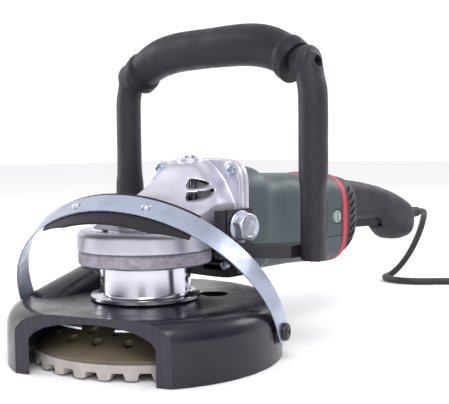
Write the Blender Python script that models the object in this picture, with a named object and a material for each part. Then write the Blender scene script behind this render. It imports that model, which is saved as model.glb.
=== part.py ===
"""Two-hand angle grinder with a bail handle, a dust shroud and a cup wheel.

Lengths in this file are millimetres and become metres when a mesh is made.
The tool frame has the spindle axis on Z, the tail towards +Y and the floor at
Z = 0. An empty carries the tool so that the world origin is under the middle of
the grinder, without its cord.
"""
import math

import bmesh
import bpy
from mathutils import Matrix, Vector

MM = 0.001

# Driving dimensions
SPINDLE_Y = -145.1            # spindle axis from the middle of the tool
AXIS_Z = 99.0                 # motor axis above the floor
SHROUD_R = 110.0
SHROUD_TOP = 46.0
SHROUD_WALL = 6.5
SHROUD_TURN = math.radians(21.7)   # shroud turned on its collar
CUT_DISTANCE = 89.5           # flat front opening from the spindle axis
DOOR_RAISE = math.radians(57.0)    # the door is stored raised
PIVOT_BACK = 9.0              # door pivots behind the spindle axis
PIVOT_Z = 23.2
DOOR_R = 113.6                # outside of the door's strap
STRAP_GAUGE = 1.4
STRAP_WIDTH = 19.7
FLAP_FROM = -121.0
FLAP_TO = -55.0
WHEEL_R = 90.0
WHEEL_HOLES = 18              # in each of two staggered rows
COLLAR_R = 36.5
CROWN_TEETH = 24
PINION_TEETH = 8
CROWN_PITCH_R = 27.0
PINION_PITCH_R = CROWN_PITCH_R * PINION_TEETH / CROWN_TEETH
HOUSING_FRONT = 70.3
HOUSING_BACK = 208.7
TAIL_Y = 397.0
BAIL_Y = 79.0
GRIP_RISE = 19.5
GRIP_R = 17.6
GRIP_REACH = 93.0
LEG_HEAD_Z = 231.0
LEG_HEAD_R = 13.5
BRUSH_Y = 200.0
BOLT_Y = 51.0
BOLT_Z = 102.0
PORT_R = 24.0
PORT_BORE = 20.0
PORT_LENGTH = 78.0
BOOT_END = 424.0
BOOT_Z = 87.0
CORD_D = 7.5
COIL_CENTRE = (88.0, 535.0)
COIL_TURNS_R = 41.0
COIL_BAND = 30.0

# Route of the free cord, tool frame, from the boot to the coil
CORD_ROUTE = [
    (0, 424.5, 87), (0, 433, 87), (-1.5, 442, 85), (-6, 450, 79), (-12, 456.5, 69), (-18.5, 460.5, 57),
    (-25.5, 462.5, 44), (-32.5, 462, 31.5), (-39.5, 459.5, 20), (-46, 454.5, 10.5), (-50, 447, 5),
    (-50.5, 437, 3.9), (-45, 428, 3.9), (-35, 422.5, 3.9), (-22, 421, 3.9), (-9, 424.5, 3.9),
    (3, 432, 3.9), (14, 442, 3.9), (26, 452.5, 3.9), (40, 462, 3.9), (55, 469, 3.9), (71, 473.2, 3.9),
    (88, 474.8, 3.9),
]

TOOL = None


def clear_scene():
    for obj in list(bpy.data.objects):
        bpy.data.objects.remove(obj, do_unlink=True)


def material(name, colour, roughness, metallic=0.0):
    made = bpy.data.materials.get(name) or bpy.data.materials.new(name)
    made.use_nodes = True
    shader = made.node_tree.nodes["Principled BSDF"]
    shader.inputs["Base Color"].default_value = (*colour, 1.0)
    shader.inputs["Roughness"].default_value = roughness
    shader.inputs["Metallic"].default_value = metallic
    return made


def cast_aluminium():
    return material("cast_aluminium", (0.66, 0.66, 0.70), 0.42, 1.0)


def machined_aluminium():
    return material("machined_aluminium", (0.72, 0.72, 0.76), 0.25, 1.0)


def steel():
    return material("steel", (0.50, 0.51, 0.54), 0.32, 1.0)


def zinc():
    return material("zinc", (0.55, 0.60, 0.68), 0.30, 1.0)


def green_plastic():
    return material("green_plastic", (0.075, 0.115, 0.120), 0.45)


def black_plastic():
    return material("black_plastic", (0.045, 0.040, 0.052), 0.50)


def black_rubber():
    return material("black_rubber", (0.030, 0.028, 0.036), 0.65)


def finish(mesh, name, finish_material, location=(0, 0, 0), rotation=(0, 0, 0), parent=None):
    """Closes a bmesh in millimetres into an object of the tool."""
    bmesh.ops.recalc_face_normals(mesh, faces=mesh.faces)
    bmesh.ops.scale(mesh, vec=(MM, MM, MM), verts=mesh.verts)
    data = bpy.data.meshes.new(name)
    mesh.to_mesh(data)
    mesh.free()
    data.shade_smooth()
    data.set_sharp_from_angle(angle=math.radians(35))
    data.materials.append(finish_material)
    obj = bpy.data.objects.new(name, data)
    bpy.context.collection.objects.link(obj)
    obj.parent = parent or TOOL
    obj.location = Vector(location) * MM
    obj.rotation_euler = rotation
    return obj


def loop_mesh(loops, capped=True, closed=False):
    """Skins loops of points with quads, with flat ends or round to the first loop."""
    mesh = bmesh.new()
    rings = [[mesh.verts.new(point) for point in loop] for loop in loops]
    pairs = list(zip(rings, rings[1:]))
    if closed:
        pairs.append((rings[-1], rings[0]))
    for low, high in pairs:
        count = len(low)
        for i in range(count):
            j = (i + 1) % count
            mesh.faces.new((low[i], low[j], high[j], high[i]))
    if capped and not closed:
        mesh.faces.new(list(reversed(rings[0])))
        mesh.faces.new(rings[-1])
    return mesh


def turned_mesh(profile, sides):
    """Turns (radius, height) points about Z. Points on the axis close the ends."""
    mesh = bmesh.new()
    rings = []
    for radius, height in profile:
        if radius < 1e-6:
            rings.append([mesh.verts.new((0, 0, height))])
            continue
        turns = [2 * math.pi * i / sides for i in range(sides)]
        rings.append([mesh.verts.new((radius * math.cos(a), radius * math.sin(a), height)) for a in turns])
    pairs = list(zip(rings, rings[1:]))
    if len(rings[0]) > 1:
        pairs.append((rings[-1], rings[0]))
    for low, high in pairs:
        for i in range(sides):
            j = (i + 1) % sides
            corners = [low[i % len(low)], low[j % len(low)], high[j % len(high)], high[i % len(high)]]
            unique = list(dict.fromkeys(corners))
            if len(unique) > 2:
                mesh.faces.new(unique)
    return mesh


def turned(name, profile, sides, finish_material, location=(0, 0, 0), rotation=(0, 0, 0), parent=None):
    return finish(turned_mesh(profile, sides), name, finish_material, location, rotation, parent)


def box_mesh(low, high):
    corners = [(low[0], low[1]), (high[0], low[1]), (high[0], high[1]), (low[0], high[1])]
    return loop_mesh([[(x, y, z) for x, y in corners] for z in (low[2], high[2])])


def arc(centre, radius, start, end, steps):
    """Points along an arc in degrees."""
    turns = [math.radians(start + (end - start) * i / steps) for i in range(steps + 1)]
    return [(centre[0] + radius * math.cos(a), centre[1] + radius * math.sin(a)) for a in turns]


def oval(y, half_width, low, high, count=16, power=3.2):
    """A rounded section across the tool axis."""
    middle = (low + high) / 2
    half_height = (high - low) / 2
    points = []
    for i in range(count):
        a = 2 * math.pi * i / count
        c, s = math.cos(a), math.sin(a)
        x = half_width * math.copysign(abs(c) ** (2 / power), c)
        z = middle + half_height * math.copysign(abs(s) ** (2 / power), s)
        points.append((x, y, z))
    return points


def cutter(mesh, name, location=(0, 0, 0), rotation=(0, 0, 0), parent=None):
    obj = finish(mesh, name, black_plastic(), location, rotation, parent)
    obj.hide_render = True
    obj.display_type = "WIRE"
    return obj


def boolean(target, tool, operation="DIFFERENCE", solver="EXACT"):
    step = target.modifiers.new(operation.lower(), "BOOLEAN")
    step.operation = operation
    step.solver = solver
    step.object = tool


ALONG_Y = (-math.pi / 2, 0, 0)      # turned pieces with their axis on +Y
ALONG_X = (0, math.pi / 2, 0)       # and on +X


# ---- gear case -------------------------------------------------------------

# Y, half width, bottom, top, and the width left at the top as a share
CASE_SECTIONS = [
    (-40, 17, 97, 108, 0.9), (-30, 29, 97, 115, 0.85), (-12, 38, 97, 121, 0.78), (8, 43, 95, 127, 0.68),
    (22, 44, 92, 136, 0.6), (36, 44.5, 89, 149.5, 0.58), (44, 45, 87, 153.5, 0.58),
    (54, 45.5, 86.5, 154, 0.6),
    (60, 46, 81, 154, 0.65),
]


def leaning(section, count=16):
    """A rounded section whose sides lean in towards its top."""
    y, half_width, low, high, share = section
    middle = (low + high) / 2
    points = []
    for x, y, z in oval(y, half_width, low, high, count):
        rise = max(0.0, (z - middle) / (high - middle))
        points.append((x * (1 - (1 - share) * rise), y, z))
    return points


def gear_case():
    """Casting: a round skirt over the crown gear, a sloping nose and a rear flange."""
    skirt = [(0, 85.3), (54.2, 85.3), (54.2, 98.5), (51, 101.5), (0, 101.5)]
    case = turned("gear_case", skirt, 28, cast_aluminium())
    body = cutter(loop_mesh([leaning(section) for section in CASE_SECTIONS]), "cut_case_body")
    flange = [oval(y, 51, 80.2, 156.5, power=5) for y in (58, 70)]
    boolean(case, body, "UNION", solver="MANIFOLD")
    boolean(case, cutter(loop_mesh(flange), "cut_case_flange"), "UNION", solver="MANIFOLD")
    boss = turned_mesh([(0, 140), (11, 140), (11, 156), (10, 157.2), (0, 157.2)], 16)
    boolean(case, cutter(boss, "cut_case_boss", (0, 52, 0)), "UNION", solver="MANIFOLD")
    well = turned_mesh([(0, 80), (41, 80), (41, 102), (0, 102)], 24)
    boolean(case, cutter(well, "cut_crown_well"), solver="MANIFOLD")
    hollow = [(12, 13, 98, 112, 0.8), (26, 36, 94, 131, 0.62), (38, 40, 91, 144, 0.6), (54, 41, 89, 149, 0.6)]
    hollow_tool = cutter(loop_mesh([leaning(section) for section in hollow]), "cut_case_hollow")
    boolean(case, hollow_tool, solver="MANIFOLD")
    pocket = turned_mesh([(0, 100), (11.3, 100), (11.3, 118), (0, 118)], 16)
    boolean(case, cutter(pocket, "cut_needle_pocket"), solver="MANIFOLD")
    seat = turned_mesh([(0, 48), (13.3, 48), (13.3, 74), (0, 74)], 16)
    boolean(case, cutter(seat, "cut_bearing_seat", (0, 0, AXIS_Z), ALONG_Y), solver="MANIFOLD")
    stem = turned_mesh([(0, 140), (3.6, 140), (3.6, 151), (6.6, 151), (6.6, 160), (0, 160)], 10)
    boolean(case, cutter(stem, "cut_stem_hole", (0, 52, 0)), solver="MANIFOLD")
    for index, (low, high) in enumerate(((122, 129.5), (132, 139))):
        window = box_mesh((-70, 20 + 3 * index, low), (70, 40, high))
        boolean(case, cutter(window, f"cut_vent_{index}"), solver="MANIFOLD")
    return case


def lower_air_cover():
    """Plastic corner piece under the gear case, with two air slots."""
    sections = [oval(y, 49, 57, 79.8, power=4.5) for y in (56.5, 70)]
    cover = finish(loop_mesh(sections), "lower_air_cover", green_plastic())
    for index, x in enumerate((-22, 22)):
        boolean(cover, cutter(box_mesh((x - 12, 50, 63), (x + 12, 80, 74)), f"cut_air_slot_{index}"))


def bearing_flange():
    """Rough casting that closes the gear case and carries the shroud's collar."""
    profile = [
        (30.5, 50.5), (30.5, 74.6), (52.8, 74.6), (53.5, 75.6), (53.5, 84.2), (52.8, 85.0),
        (17.8, 85.0), (17.8, 61.5), (13, 61.5), (13, 50.5),
    ]
    turned("bearing_flange", profile, 24, cast_aluminium())


def ring(name, outer, inner, low, high, finish_material, location=(0, 0, 0), rotation=(0, 0, 0), sides=20):
    profile = [(outer, low), (outer, high), (inner, high), (inner, low)]
    return turned(name, profile, sides, finish_material, location, rotation)


def bearings():
    ring("spindle_bearing", 17.5, 8.8, 62, 76, steel())
    ring("spindle_top_bearing", 11.0, 7.3, 105, 117, steel(), sides=20)
    ring("front_armature_bearing", 13.0, 7.3, 57, 68, steel(), (0, 0, AXIS_Z), ALONG_Y)
    ring("rear_armature_bearing", 11.0, 5.3, 215, 223, steel(), (0, 0, AXIS_Z), ALONG_Y, 20)
    profile = [(34, 216), (34, 221), (14, 224), (11.3, 224), (11.3, 214), (14, 214)]
    turned("rear_bearing_bridge", profile, 20, black_plastic(), (0, 0, AXIS_Z), ALONG_Y)


# ---- bevel gears -----------------------------------------------------------

def tooth_loop(teeth, place, scale, turn):
    """One loop of tooth corners. place maps (angle, height on tooth) to a point."""
    points = []
    pitch = 2 * math.pi / teeth
    for i in range(teeth):
        for offset, height in ((-0.27, 0), (-0.16, 1), (0.16, 1), (0.27, 0)):
            points.append(place(turn + (i + offset) * pitch, height, scale))
    return points


def gear_loops(teeth, rows, turn):
    """Loops of plain circles that match a tooth loop's corners."""
    pitch = 2 * math.pi / teeth
    angles = [turn + (i + k) * pitch for i in range(teeth) for k in (-0.27, -0.16, 0.16, 0.27)]
    return [[(r * math.cos(a), r * math.sin(a), z) for a in angles] for r, z in rows]


SMALL_END = 0.62
ADDENDUM = 1.1
DEDENDUM = 1.6


def bevel_gear(name, teeth, pitch_r, height, rows_before, rows_after, turn, location, rotation):
    """Bevel gear whose apex is at its origin. Without rows after its teeth it is solid."""
    cone = math.atan2(pitch_r, height)

    def place(angle, on_tip, scale):
        rise = ADDENDUM if on_tip else -DEDENDUM
        radius = scale * (pitch_r + rise * math.cos(cone))
        depth = scale * (-height + rise * math.sin(cone))
        return (radius * math.cos(angle), radius * math.sin(angle), depth)

    loops = gear_loops(teeth, rows_before, turn)
    loops += [tooth_loop(teeth, place, 1.0, turn), tooth_loop(teeth, place, SMALL_END, turn)]
    loops += gear_loops(teeth, rows_after, turn)
    finish(loop_mesh(loops, closed=bool(rows_after)), name, steel(), location, rotation)


def gears():
    half_crown_pitch = math.pi / CROWN_TEETH
    bevel_gear(
        "crown_gear", CROWN_TEETH, CROWN_PITCH_R, PINION_PITCH_R,
        [(8.3, -13.3), (26, -13.3)], [(8.3, -5.5)],
        math.pi / 2 + half_crown_pitch, (0, 0, AXIS_Z), (0, 0, 0),
    )
    bevel_gear(
        "pinion_gear", PINION_TEETH, PINION_PITCH_R, CROWN_PITCH_R,
        [(5.9, -32), (5.9, -29)], [],
        math.pi / 2, (0, 0, AXIS_Z), (math.pi / 2, 0, 0),
    )


# ---- spindle and wheel -----------------------------------------------------

def spindle():
    profile = [
        (0, 20), (6, 20), (7, 21), (7, 46.5), (12, 46.5), (12, 60), (8.5, 60),
        (8.5, 83), (8.0, 83), (8.0, 98), (7.0, 98), (7.0, 116), (0, 116),
    ]
    turned("spindle", profile, 16, steel())


def wheel_parts():
    """Inner flange, cup wheel, its bonded rim of segments, and the clamp nut."""
    inner = [(7.3, 34.4), (11.0, 34.4), (11.0, 38.3), (20, 38.3), (20, 43), (14, 46.2), (7.3, 46.2)]
    turned("inner_flange", inner, 20, steel())
    nut = [(7.3, 26), (16, 26), (18, 27.5), (18, 33.7), (7.3, 33.7)]
    turned("clamp_nut", nut, 20, steel())
    body = [(11.3, 34), (40, 34), (79, 15), (79, 12.8), (WHEEL_R - 1, 12.8), (WHEEL_R - 1, 15.5), (81, 19),
            (44, 38), (11.3, 38)]
    wheel = turned("cup_wheel", body, 32, material("wheel_paint", (0.16, 0.14, 0.085), 0.55, 0.2))
    tools = bmesh.new()
    for row, (radius, height, first) in enumerate(((71.5, 24, -72.5), (60.5, 30, -62.5))):
        for i in range(WHEEL_HOLES):
            a = math.radians(first) + 2 * math.pi * i / WHEEL_HOLES
            tool = turned_mesh([(0, -12), (4.2, -12), (4.2, 12), (0, 12)], 8)
            place = Matrix.Translation((radius * math.cos(a), radius * math.sin(a), height))
            bmesh.ops.transform(tool, matrix=place, verts=tool.verts)
            step = bpy.data.meshes.new("holes")
            tool.to_mesh(step)
            tool.free()
            tools.from_mesh(step)
            bpy.data.meshes.remove(step)
    boolean(wheel, cutter(tools, "cut_wheel_holes"))
    segments = 28
    steps = 4
    loops = []
    for i in range(segments * steps):
        a = 2 * math.pi * i / (segments * steps)
        low = 1.2 if i % steps < 2 else 6.5
        loops.append([
            (r * math.cos(a), r * math.sin(a), z)
            for r, z in ((74, low), (WHEEL_R, low), (WHEEL_R, 12.5), (74, 12.5))
        ])
    rim_material = material("segment_metal", (0.62, 0.56, 0.50), 0.6, 0.1)
    finish(loop_mesh(loops, closed=True), "wheel_segments", rim_material)


# ---- motor -----------------------------------------------------------------

HOUSING_SECTIONS = [
    (HOUSING_FRONT, 50, 56, 150.5), (95, 50, 56.5, 149.5), (99, 48.5, 57, 146), (104, 46.5, 57.5, 142),
    (150, 45.5, 57.5, 141), (195, 46, 55.5, 139.5), (HOUSING_BACK, 46, 54.5, 138.5),
]


def inset(section, wall):
    y, half_width, low, high = section
    return (y, half_width - wall, low + wall, high - wall)


def motor_housing():
    outer = [oval(*section, power=4) for section in HOUSING_SECTIONS]
    inner = [oval(*inset(section, 3.2), power=4) for section in reversed(HOUSING_SECTIONS)]
    housing = finish(loop_mesh(outer + inner, closed=True), "motor_housing", green_plastic())
    for side in (-1, 1):
        hole = turned_mesh([(0, 38), (6.4, 38), (6.4, 52), (0, 52)], 12)
        turn = (0, side * math.pi / 2, 0)
        boolean(housing, cutter(hole, f"cut_brush_hole_{side}", (0, BRUSH_Y, AXIS_Z), turn))


def stator_and_brushes():
    laminations = material("laminations", (0.20, 0.19, 0.18), 0.5, 0.8)
    ring("stator_core", 34.5, 23.6, 105, 165, laminations, (0, 0, AXIS_Z), ALONG_Y, 24)
    carbon = material("carbon", (0.03, 0.03, 0.03), 0.7)
    for side, word in ((-1, "left"), (1, "right")):
        inside, outside = sorted((side * 14.0, side * 34.0))
        brush = box_mesh((inside, BRUSH_Y - 4, AXIS_Z - 6), (outside, BRUSH_Y + 4, AXIS_Z + 6))
        finish(brush, f"carbon_brush_{word}", carbon)
        cap = [(0, 36), (6, 36), (6, 45.8), (5, 47), (0, 47)]
        turn = (0, side * math.pi / 2, 0)
        turned(f"brush_cap_{word}", cap, 12, black_plastic(), (0, BRUSH_Y, AXIS_Z), turn)


def armature():
    """Shaft, core, commutator and fan, about the motor axis."""
    at_axis = (0, 0, AXIS_Z)
    shaft_profile = [
        (0, 32.3), (5.5, 32.3), (7, 34), (7, 46), (8.5, 46), (8.5, 55.5), (7, 55.5),
        (7, 69), (6, 69), (6, 209), (5, 209), (5, 223), (0, 223),
    ]
    shaft = turned("armature_shaft", shaft_profile, 12, steel(), at_axis, ALONG_Y)
    for index in range(4):
        notch = box_mesh((-2.8, -12, 48.5), (2.8, -4, 55.2))
        bmesh.ops.transform(notch, matrix=Matrix.Rotation(index * math.pi / 2, 4, "Z"), verts=notch.verts)
        boolean(shaft, cutter(notch, f"cut_lock_notch_{index}", at_axis, ALONG_Y))
    laminations = material("laminations", (0.20, 0.19, 0.18), 0.5, 0.8)
    ring("armature_core", 22.8, 6.3, 107, 163, laminations, at_axis, ALONG_Y, 20)
    copper = material("copper", (0.72, 0.38, 0.22), 0.35, 1.0)
    ring("commutator", 13.5, 6.3, 190, 208, copper, at_axis, ALONG_Y, 16)
    disc = [(6.3, 76), (14, 76), (14, 86), (33, 86), (33, 89), (6.3, 89)]
    fan = turned("cooling_fan", disc, 20, black_plastic(), at_axis, ALONG_Y)
    blades = 7
    for i in range(blades):
        blade = box_mesh((12, -1.2, 78), (32, 1.2, 87))
        turn = Matrix.Rotation(2 * math.pi * i / blades, 4, "Z")
        bmesh.ops.transform(blade, matrix=turn, verts=blade.verts)
        boolean(fan, cutter(blade, f"add_fan_blade_{i}", at_axis, ALONG_Y), "UNION")


# ---- rear handle -----------------------------------------------------------

HANDLE_SECTIONS = [
    (215.4, 45.5, 54, 138), (230, 44, 57, 137), (243, 38, 65, 135), (252, 27, 77, 133),
    (261, 18.5, 84, 131.5), (300, 16.5, 86, 126.5), (328, 16.5, 86, 121.5), (340, 17, 73, 118.5),
    (354, 17, 62, 115), (374, 16.5, 60, 108), (390, 15, 62, 101), (TAIL_Y, 12, 70, 93),
]


def handle_shells():
    """Two clamshell halves: bell, grip and tail fin, with a shared hollow."""
    hollow = [oval(*inset(section, 3.0), power=3) for section in HANDLE_SECTIONS[:-2]]
    hollow[0] = oval(214, 42.5, 57, 135, power=3)
    for side, word in ((-1, "left"), (1, "right")):
        sections = [oval(*section, power=3) for section in HANDLE_SECTIONS]
        shell = finish(loop_mesh(sections), f"handle_shell_{word}", black_plastic())
        boolean(shell, cutter(loop_mesh(hollow), f"cut_handle_hollow_{word}"))
        slot = box_mesh((-9, 257, 60), (9, 339, 97))
        boolean(shell, cutter(slot, f"cut_trigger_slot_{word}"))
        exit_hole = turned_mesh([(0, 370), (5.2, 370), (5.2, 415), (0, 415)], 16)
        boolean(shell, cutter(exit_hole, f"cut_cord_hole_{word}", (0, 0, BOOT_Z), ALONG_Y))
        near, far = sorted((side * 0.15, side * -80.0))
        boolean(shell, cutter(box_mesh((near, 200, 40), (far, 420, 160)), f"cut_half_{word}"))
    finish(box_mesh((-8, 275, 100), (8, 318, 118)), "switch_body", black_plastic())
    band = [(y, 47.2, 52.5, 140) for y in (209.0, 215.1)]
    outer = [oval(*section, power=3.4) for section in band]
    inner = [oval(*inset(section, 5.0), power=3.4) for section in reversed(band)]
    red = material("red_rubber", (0.60, 0.06, 0.08), 0.55)
    finish(loop_mesh(outer + inner, closed=True), "damper_ring", red)


def trigger_lever():
    """Paddle under the grip, hinged at its rear end."""
    pivot_y, pivot_z = 332.0, 90.0
    outline = [(-72, -7), (-69, -9), (-10, -11), (2, -9), (5, -3), (4, 3), (-4, 4), (-60, 3), (-70, 1.5)]
    loops = [[(x, y, z) for y, z in outline] for x in (-8, 8)]
    finish(loop_mesh(loops), "trigger_lever", black_plastic(), (0, pivot_y, pivot_z))


def lock_on_slider():
    outline = [(-6, -7), (6, -7), (6, 7), (-6, 7)]
    rows = [(1.0, 0.0), (1.0, 2.4), (0.75, 3.6)]
    loops = [[(x * k, y * k, z) for x, y in outline] for k, z in rows]
    finish(loop_mesh(loops), "lock_on_slider", black_plastic(), (0, 228, 138.6))


def lock_button():
    """Spindle lock: pressed down, its pin drops into the notch of the shaft."""
    profile = [(0, 110), (2, 110), (2, 155.8), (6.2, 155.8), (6.2, 158.2), (5.6, 159.0), (0, 159.0)]
    turned("lock_button", profile, 14, cast_aluminium(), (0, 52, 0))


def lock_spring():
    """Return spring in the top boss, one smooth helix with closed ends."""
    turns, steps, coil_r, wire_r = 2, 12, 5.0, 0.5
    low, high = 151.8, 155.1
    loops = []
    total = turns * steps
    for i in range(total + 1):
        a = 2 * math.pi * i / steps
        z = low + (high - low) * i / total
        loops.append([
            ((coil_r + wire_r * math.cos(b)) * math.cos(a),
             (coil_r + wire_r * math.cos(b)) * math.sin(a), z + wire_r * math.sin(b))
            for b in (2 * math.pi * k / 4 for k in range(4))
        ])
    finish(loop_mesh(loops), "lock_spring", steel(), (0, 52, 0))


# ---- bail handle -----------------------------------------------------------

def bail_arm():
    """Steel arm from the bracket plate out to the foot of the leg."""
    outline = [(52.2, 38), (57, 30), (97.5, 66), (97.5, 90), (86, 90)]
    return loop_mesh([[(x, y, z) for x, y in outline] for z in (78.2, 88)])


def bail():
    for side, word in ((-1, "left"), (1, "right")):
        plate = box_mesh((52, 27, 78), (57.5, 66, 116))
        bracket = finish(plate, f"bail_bracket_{word}", steel_black())
        boolean(bracket, cutter(bail_arm(), f"add_bail_arm_{word}"), "UNION")
        hole = turned_mesh([(0, 45), (7.4, 45), (7.4, 64), (0, 64)], 14)
        boolean(bracket, cutter(hole, f"cut_bolt_hole_{word}", (0, BOLT_Y, BOLT_Z), ALONG_X))
        leg = finish(loop_mesh([leg_section(*row) for row in LEG_ROWS]), f"bail_leg_{word}", black_plastic())
        head = turned_mesh([(0, 94.5), (LEG_HEAD_R, 94.5), (LEG_HEAD_R, 107), (10, 111), (0, 111)], 16)
        boolean(leg, cutter(head, f"add_leg_head_{word}", (0, BAIL_Y, LEG_HEAD_Z), ALONG_X), "UNION")
        bolt_rows = [(7.0, 51.5), (7.0, 57.8), (13.0, 57.8), (13.0, 60.0)]
        bolt = turned(f"bail_bolt_{word}", [(0, 51.5), *bolt_rows, (0, 60.0)], 18, zinc(),
                      (0, BOLT_Y, BOLT_Z), ALONG_X)
        head = turned_mesh([(0, 59.5), (10.6, 59.5), (10.6, 67.6), (9.4, 68.6), (0, 68.6)], 6)
        boolean(bolt, cutter(head, f"add_bolt_head_{word}", (0, BOLT_Y, BOLT_Z), ALONG_X), "UNION")
        if side < 0:
            for obj in (bracket, leg, bolt):
                mirror_over_x(obj)
    grip_loops = []
    steps = 18
    for i in range(steps + 1):
        share = -1 + 2 * i / steps
        edge = abs(share)
        x = GRIP_REACH * share
        z = LEG_HEAD_Z + GRIP_RISE * (1 - edge ** 4)
        swell = GRIP_R + 2.4 * max(0, (edge - 0.88) / 0.12)
        slope = math.atan2(-4 * GRIP_RISE * edge ** 3 * math.copysign(1, share), GRIP_REACH)
        ring_points = []
        for k in range(12):
            a = 2 * math.pi * k / 12
            up = swell * math.sin(a)
            ring_points.append((x - up * math.sin(slope) * (1 - edge ** 8),
                                BAIL_Y + swell * 0.92 * math.cos(a), z + up * math.cos(slope)))
        grip_loops.append(ring_points)
    finish(loop_mesh(grip_loops), "bail_grip", black_rubber())


def steel_black():
    return material("black_steel", (0.035, 0.033, 0.040), 0.45, 0.3)


# Height, centre, half widths along and across the diagonal, and how pointed
LEG_ROWS = [
    (77, 109.5, 13.2, 10.2, 1.15), (128, 109.5, 13.2, 10.2, 1.15), (146, 109.5, 11.8, 11.5, 1.0),
    (198, 109.5, 11.6, 11.6, 1.0), (211, 108.8, 11.6, 11.6, 1.0), (222, 106, 11.6, 11.6, 1.0),
    (232, 104.8, 11, 11, 1.0), (238, 104.0, 9, 9, 1.0),
]


def leg_section(z, centre, along, across, corner, count=16):
    """Leg section on its diagonals. A corner over 1 makes it a soft diamond."""
    points = []
    for k in range(count):
        a = 2 * math.pi * k / count
        c, s = math.cos(a), math.sin(a)
        p = along * math.copysign(abs(c) ** corner, c) / math.sqrt(2)
        q = across * math.copysign(abs(s) ** corner, s) / math.sqrt(2)
        points.append((centre + p + q, BAIL_Y - p + q, z))
    return points


def mirror_over_x(obj):
    """Mirrors a right-hand piece, and the tools that shape it, to the left side."""
    tools = [step.object for step in obj.modifiers if step.type == "BOOLEAN"]
    for piece in [obj] + tools:
        flip = Matrix.Diagonal((-1, 1, 1, 1)) @ piece.matrix_basis
        piece.data.transform(flip)
        piece.data.flip_normals()
        piece.matrix_basis = Matrix.Identity(4)


# ---- dust shroud and its door ----------------------------------------------

def shroud_frame():
    """Empty on the spindle axis: its -Y is the open front of the shroud."""
    frame = bpy.data.objects.new("shroud_frame", None)
    bpy.context.collection.objects.link(frame)
    frame.parent = TOOL
    frame.rotation_euler = (0, 0, SHROUD_TURN)
    return frame


def shroud(frame):
    shoulder = 16.0
    outer = [(SHROUD_R, 0)] + arc((SHROUD_R - shoulder, SHROUD_TOP - shoulder), shoulder, 0, 90, 4)
    inner_r = SHROUD_R - SHROUD_WALL
    profile = outer + [(62, SHROUD_TOP - 1.5), (31.5, SHROUD_TOP), (31.5, 0)]
    rubber = material("urethane", (0.040, 0.033, 0.048), 0.35)
    body = turned("shroud_body", profile, 40, rubber, parent=frame)
    port_place, port_turn = (-84, -25, 25), (math.radians(-78.5), 0, math.radians(-6))
    port = turned_mesh([(0, -14), (14, -14), (PORT_R, 0), (PORT_R, PORT_LENGTH), (0, PORT_LENGTH)], 20)
    # the exact solver leaves open edges where the port leaves the rounded wall
    boolean(body, cutter(port, "add_port", port_place, port_turn, frame), "UNION", solver="MANIFOLD")
    for side in (-1, 1):
        lug = turned_mesh([(0, 100), (9, 100), (9, 111.7), (0, 111.7)], 12)
        place = (0, PIVOT_BACK, PIVOT_Z)
        turn = (0, side * math.pi / 2, 0)
        lug_tool = cutter(lug, f"add_pivot_lug_{side}", place, turn, frame)
        boolean(body, lug_tool, "UNION", solver="MANIFOLD")
        hole = turned_mesh([(0, 104.6), (3.4, 104.6), (3.4, 120), (0, 120)], 8)
        hole_tool = cutter(hole, f"cut_pivot_hole_{side}", place, turn, frame)
        boolean(body, hole_tool, solver="MANIFOLD")
    bore = turned_mesh([(0, 0), (PORT_BORE, 0), (PORT_BORE, 120), (0, 120)], 14)
    boolean(body, cutter(bore, "cut_port_bore", port_place, port_turn, frame), solver="MANIFOLD")
    inside_rows = [(0, -1), (inner_r, -1), (inner_r, 29), (inner_r - 9, 38), (inner_r - 12, 41.8), (0, 41.8)]
    boolean(body, cutter(turned_mesh(inside_rows, 30), "cut_wheel_space", parent=frame), solver="MANIFOLD")
    below = box_mesh((-200, -200, -60), (200, 200, 0.0))
    boolean(body, cutter(below, "cut_below_floor", parent=frame), solver="MANIFOLD")
    front = box_mesh((-150, -200, -10), (150, -CUT_DISTANCE, 80))
    boolean(body, cutter(front, "cut_front", parent=frame), solver="MANIFOLD")
    access = turned_mesh([(0, 30), (12, 30), (12, 60), (0, 60)], 14)
    boolean(body, cutter(access, "cut_access_hole", (45.5, 33.5, 0), parent=frame), solver="MANIFOLD")


def shroud_collar(frame):
    profile = [(31.2, 46.4), (44.3, 46.4), (44.3, 49.4), (38, 49.9), (COLLAR_R, 51.5),
               (COLLAR_R, 74.2), (31.2, 74.2)]
    collar = turned("shroud_collar", profile, 28, machined_aluminium(), parent=frame)
    for index, degrees in enumerate((0, 132.0, -132.0)):
        hole = turned_mesh([(0, 28), (2.8, 28), (2.8, 42), (0, 42)], 8)
        turn = (0, math.pi / 2, math.radians(degrees))
        boolean(collar, cutter(hole, f"cut_set_screw_{index}", (0, 0, 62), turn, frame))
        screw = [(0, 31.4), (2.5, 31.4), (2.5, 36.2), (0, 36.2)]
        turned(f"collar_screw_{index + 1}", screw, 10, steel_black(), (0, 0, 62), turn, frame)
    snap = []
    steps = 24
    for i in range(steps + 1):
        a = math.radians(-80 + 340 * i / steps)
        snap.append([(r * math.cos(a), r * math.sin(a), z)
                     for r, z in ((76, 33.8), (79, 33.8), (79, 41.5), (76, 41.5))])
    finish(loop_mesh(snap), "retaining_ring", zinc(), parent=frame)


def strap_path(radius, reach):
    """Plan of the door: a half circle about the spindle with two straight arms."""
    points = [(radius, reach)]
    points += [(x, y) for x, y in arc((0, 0), radius, 0, -180, 28)]
    points += [(-radius, reach)]
    return points


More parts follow.
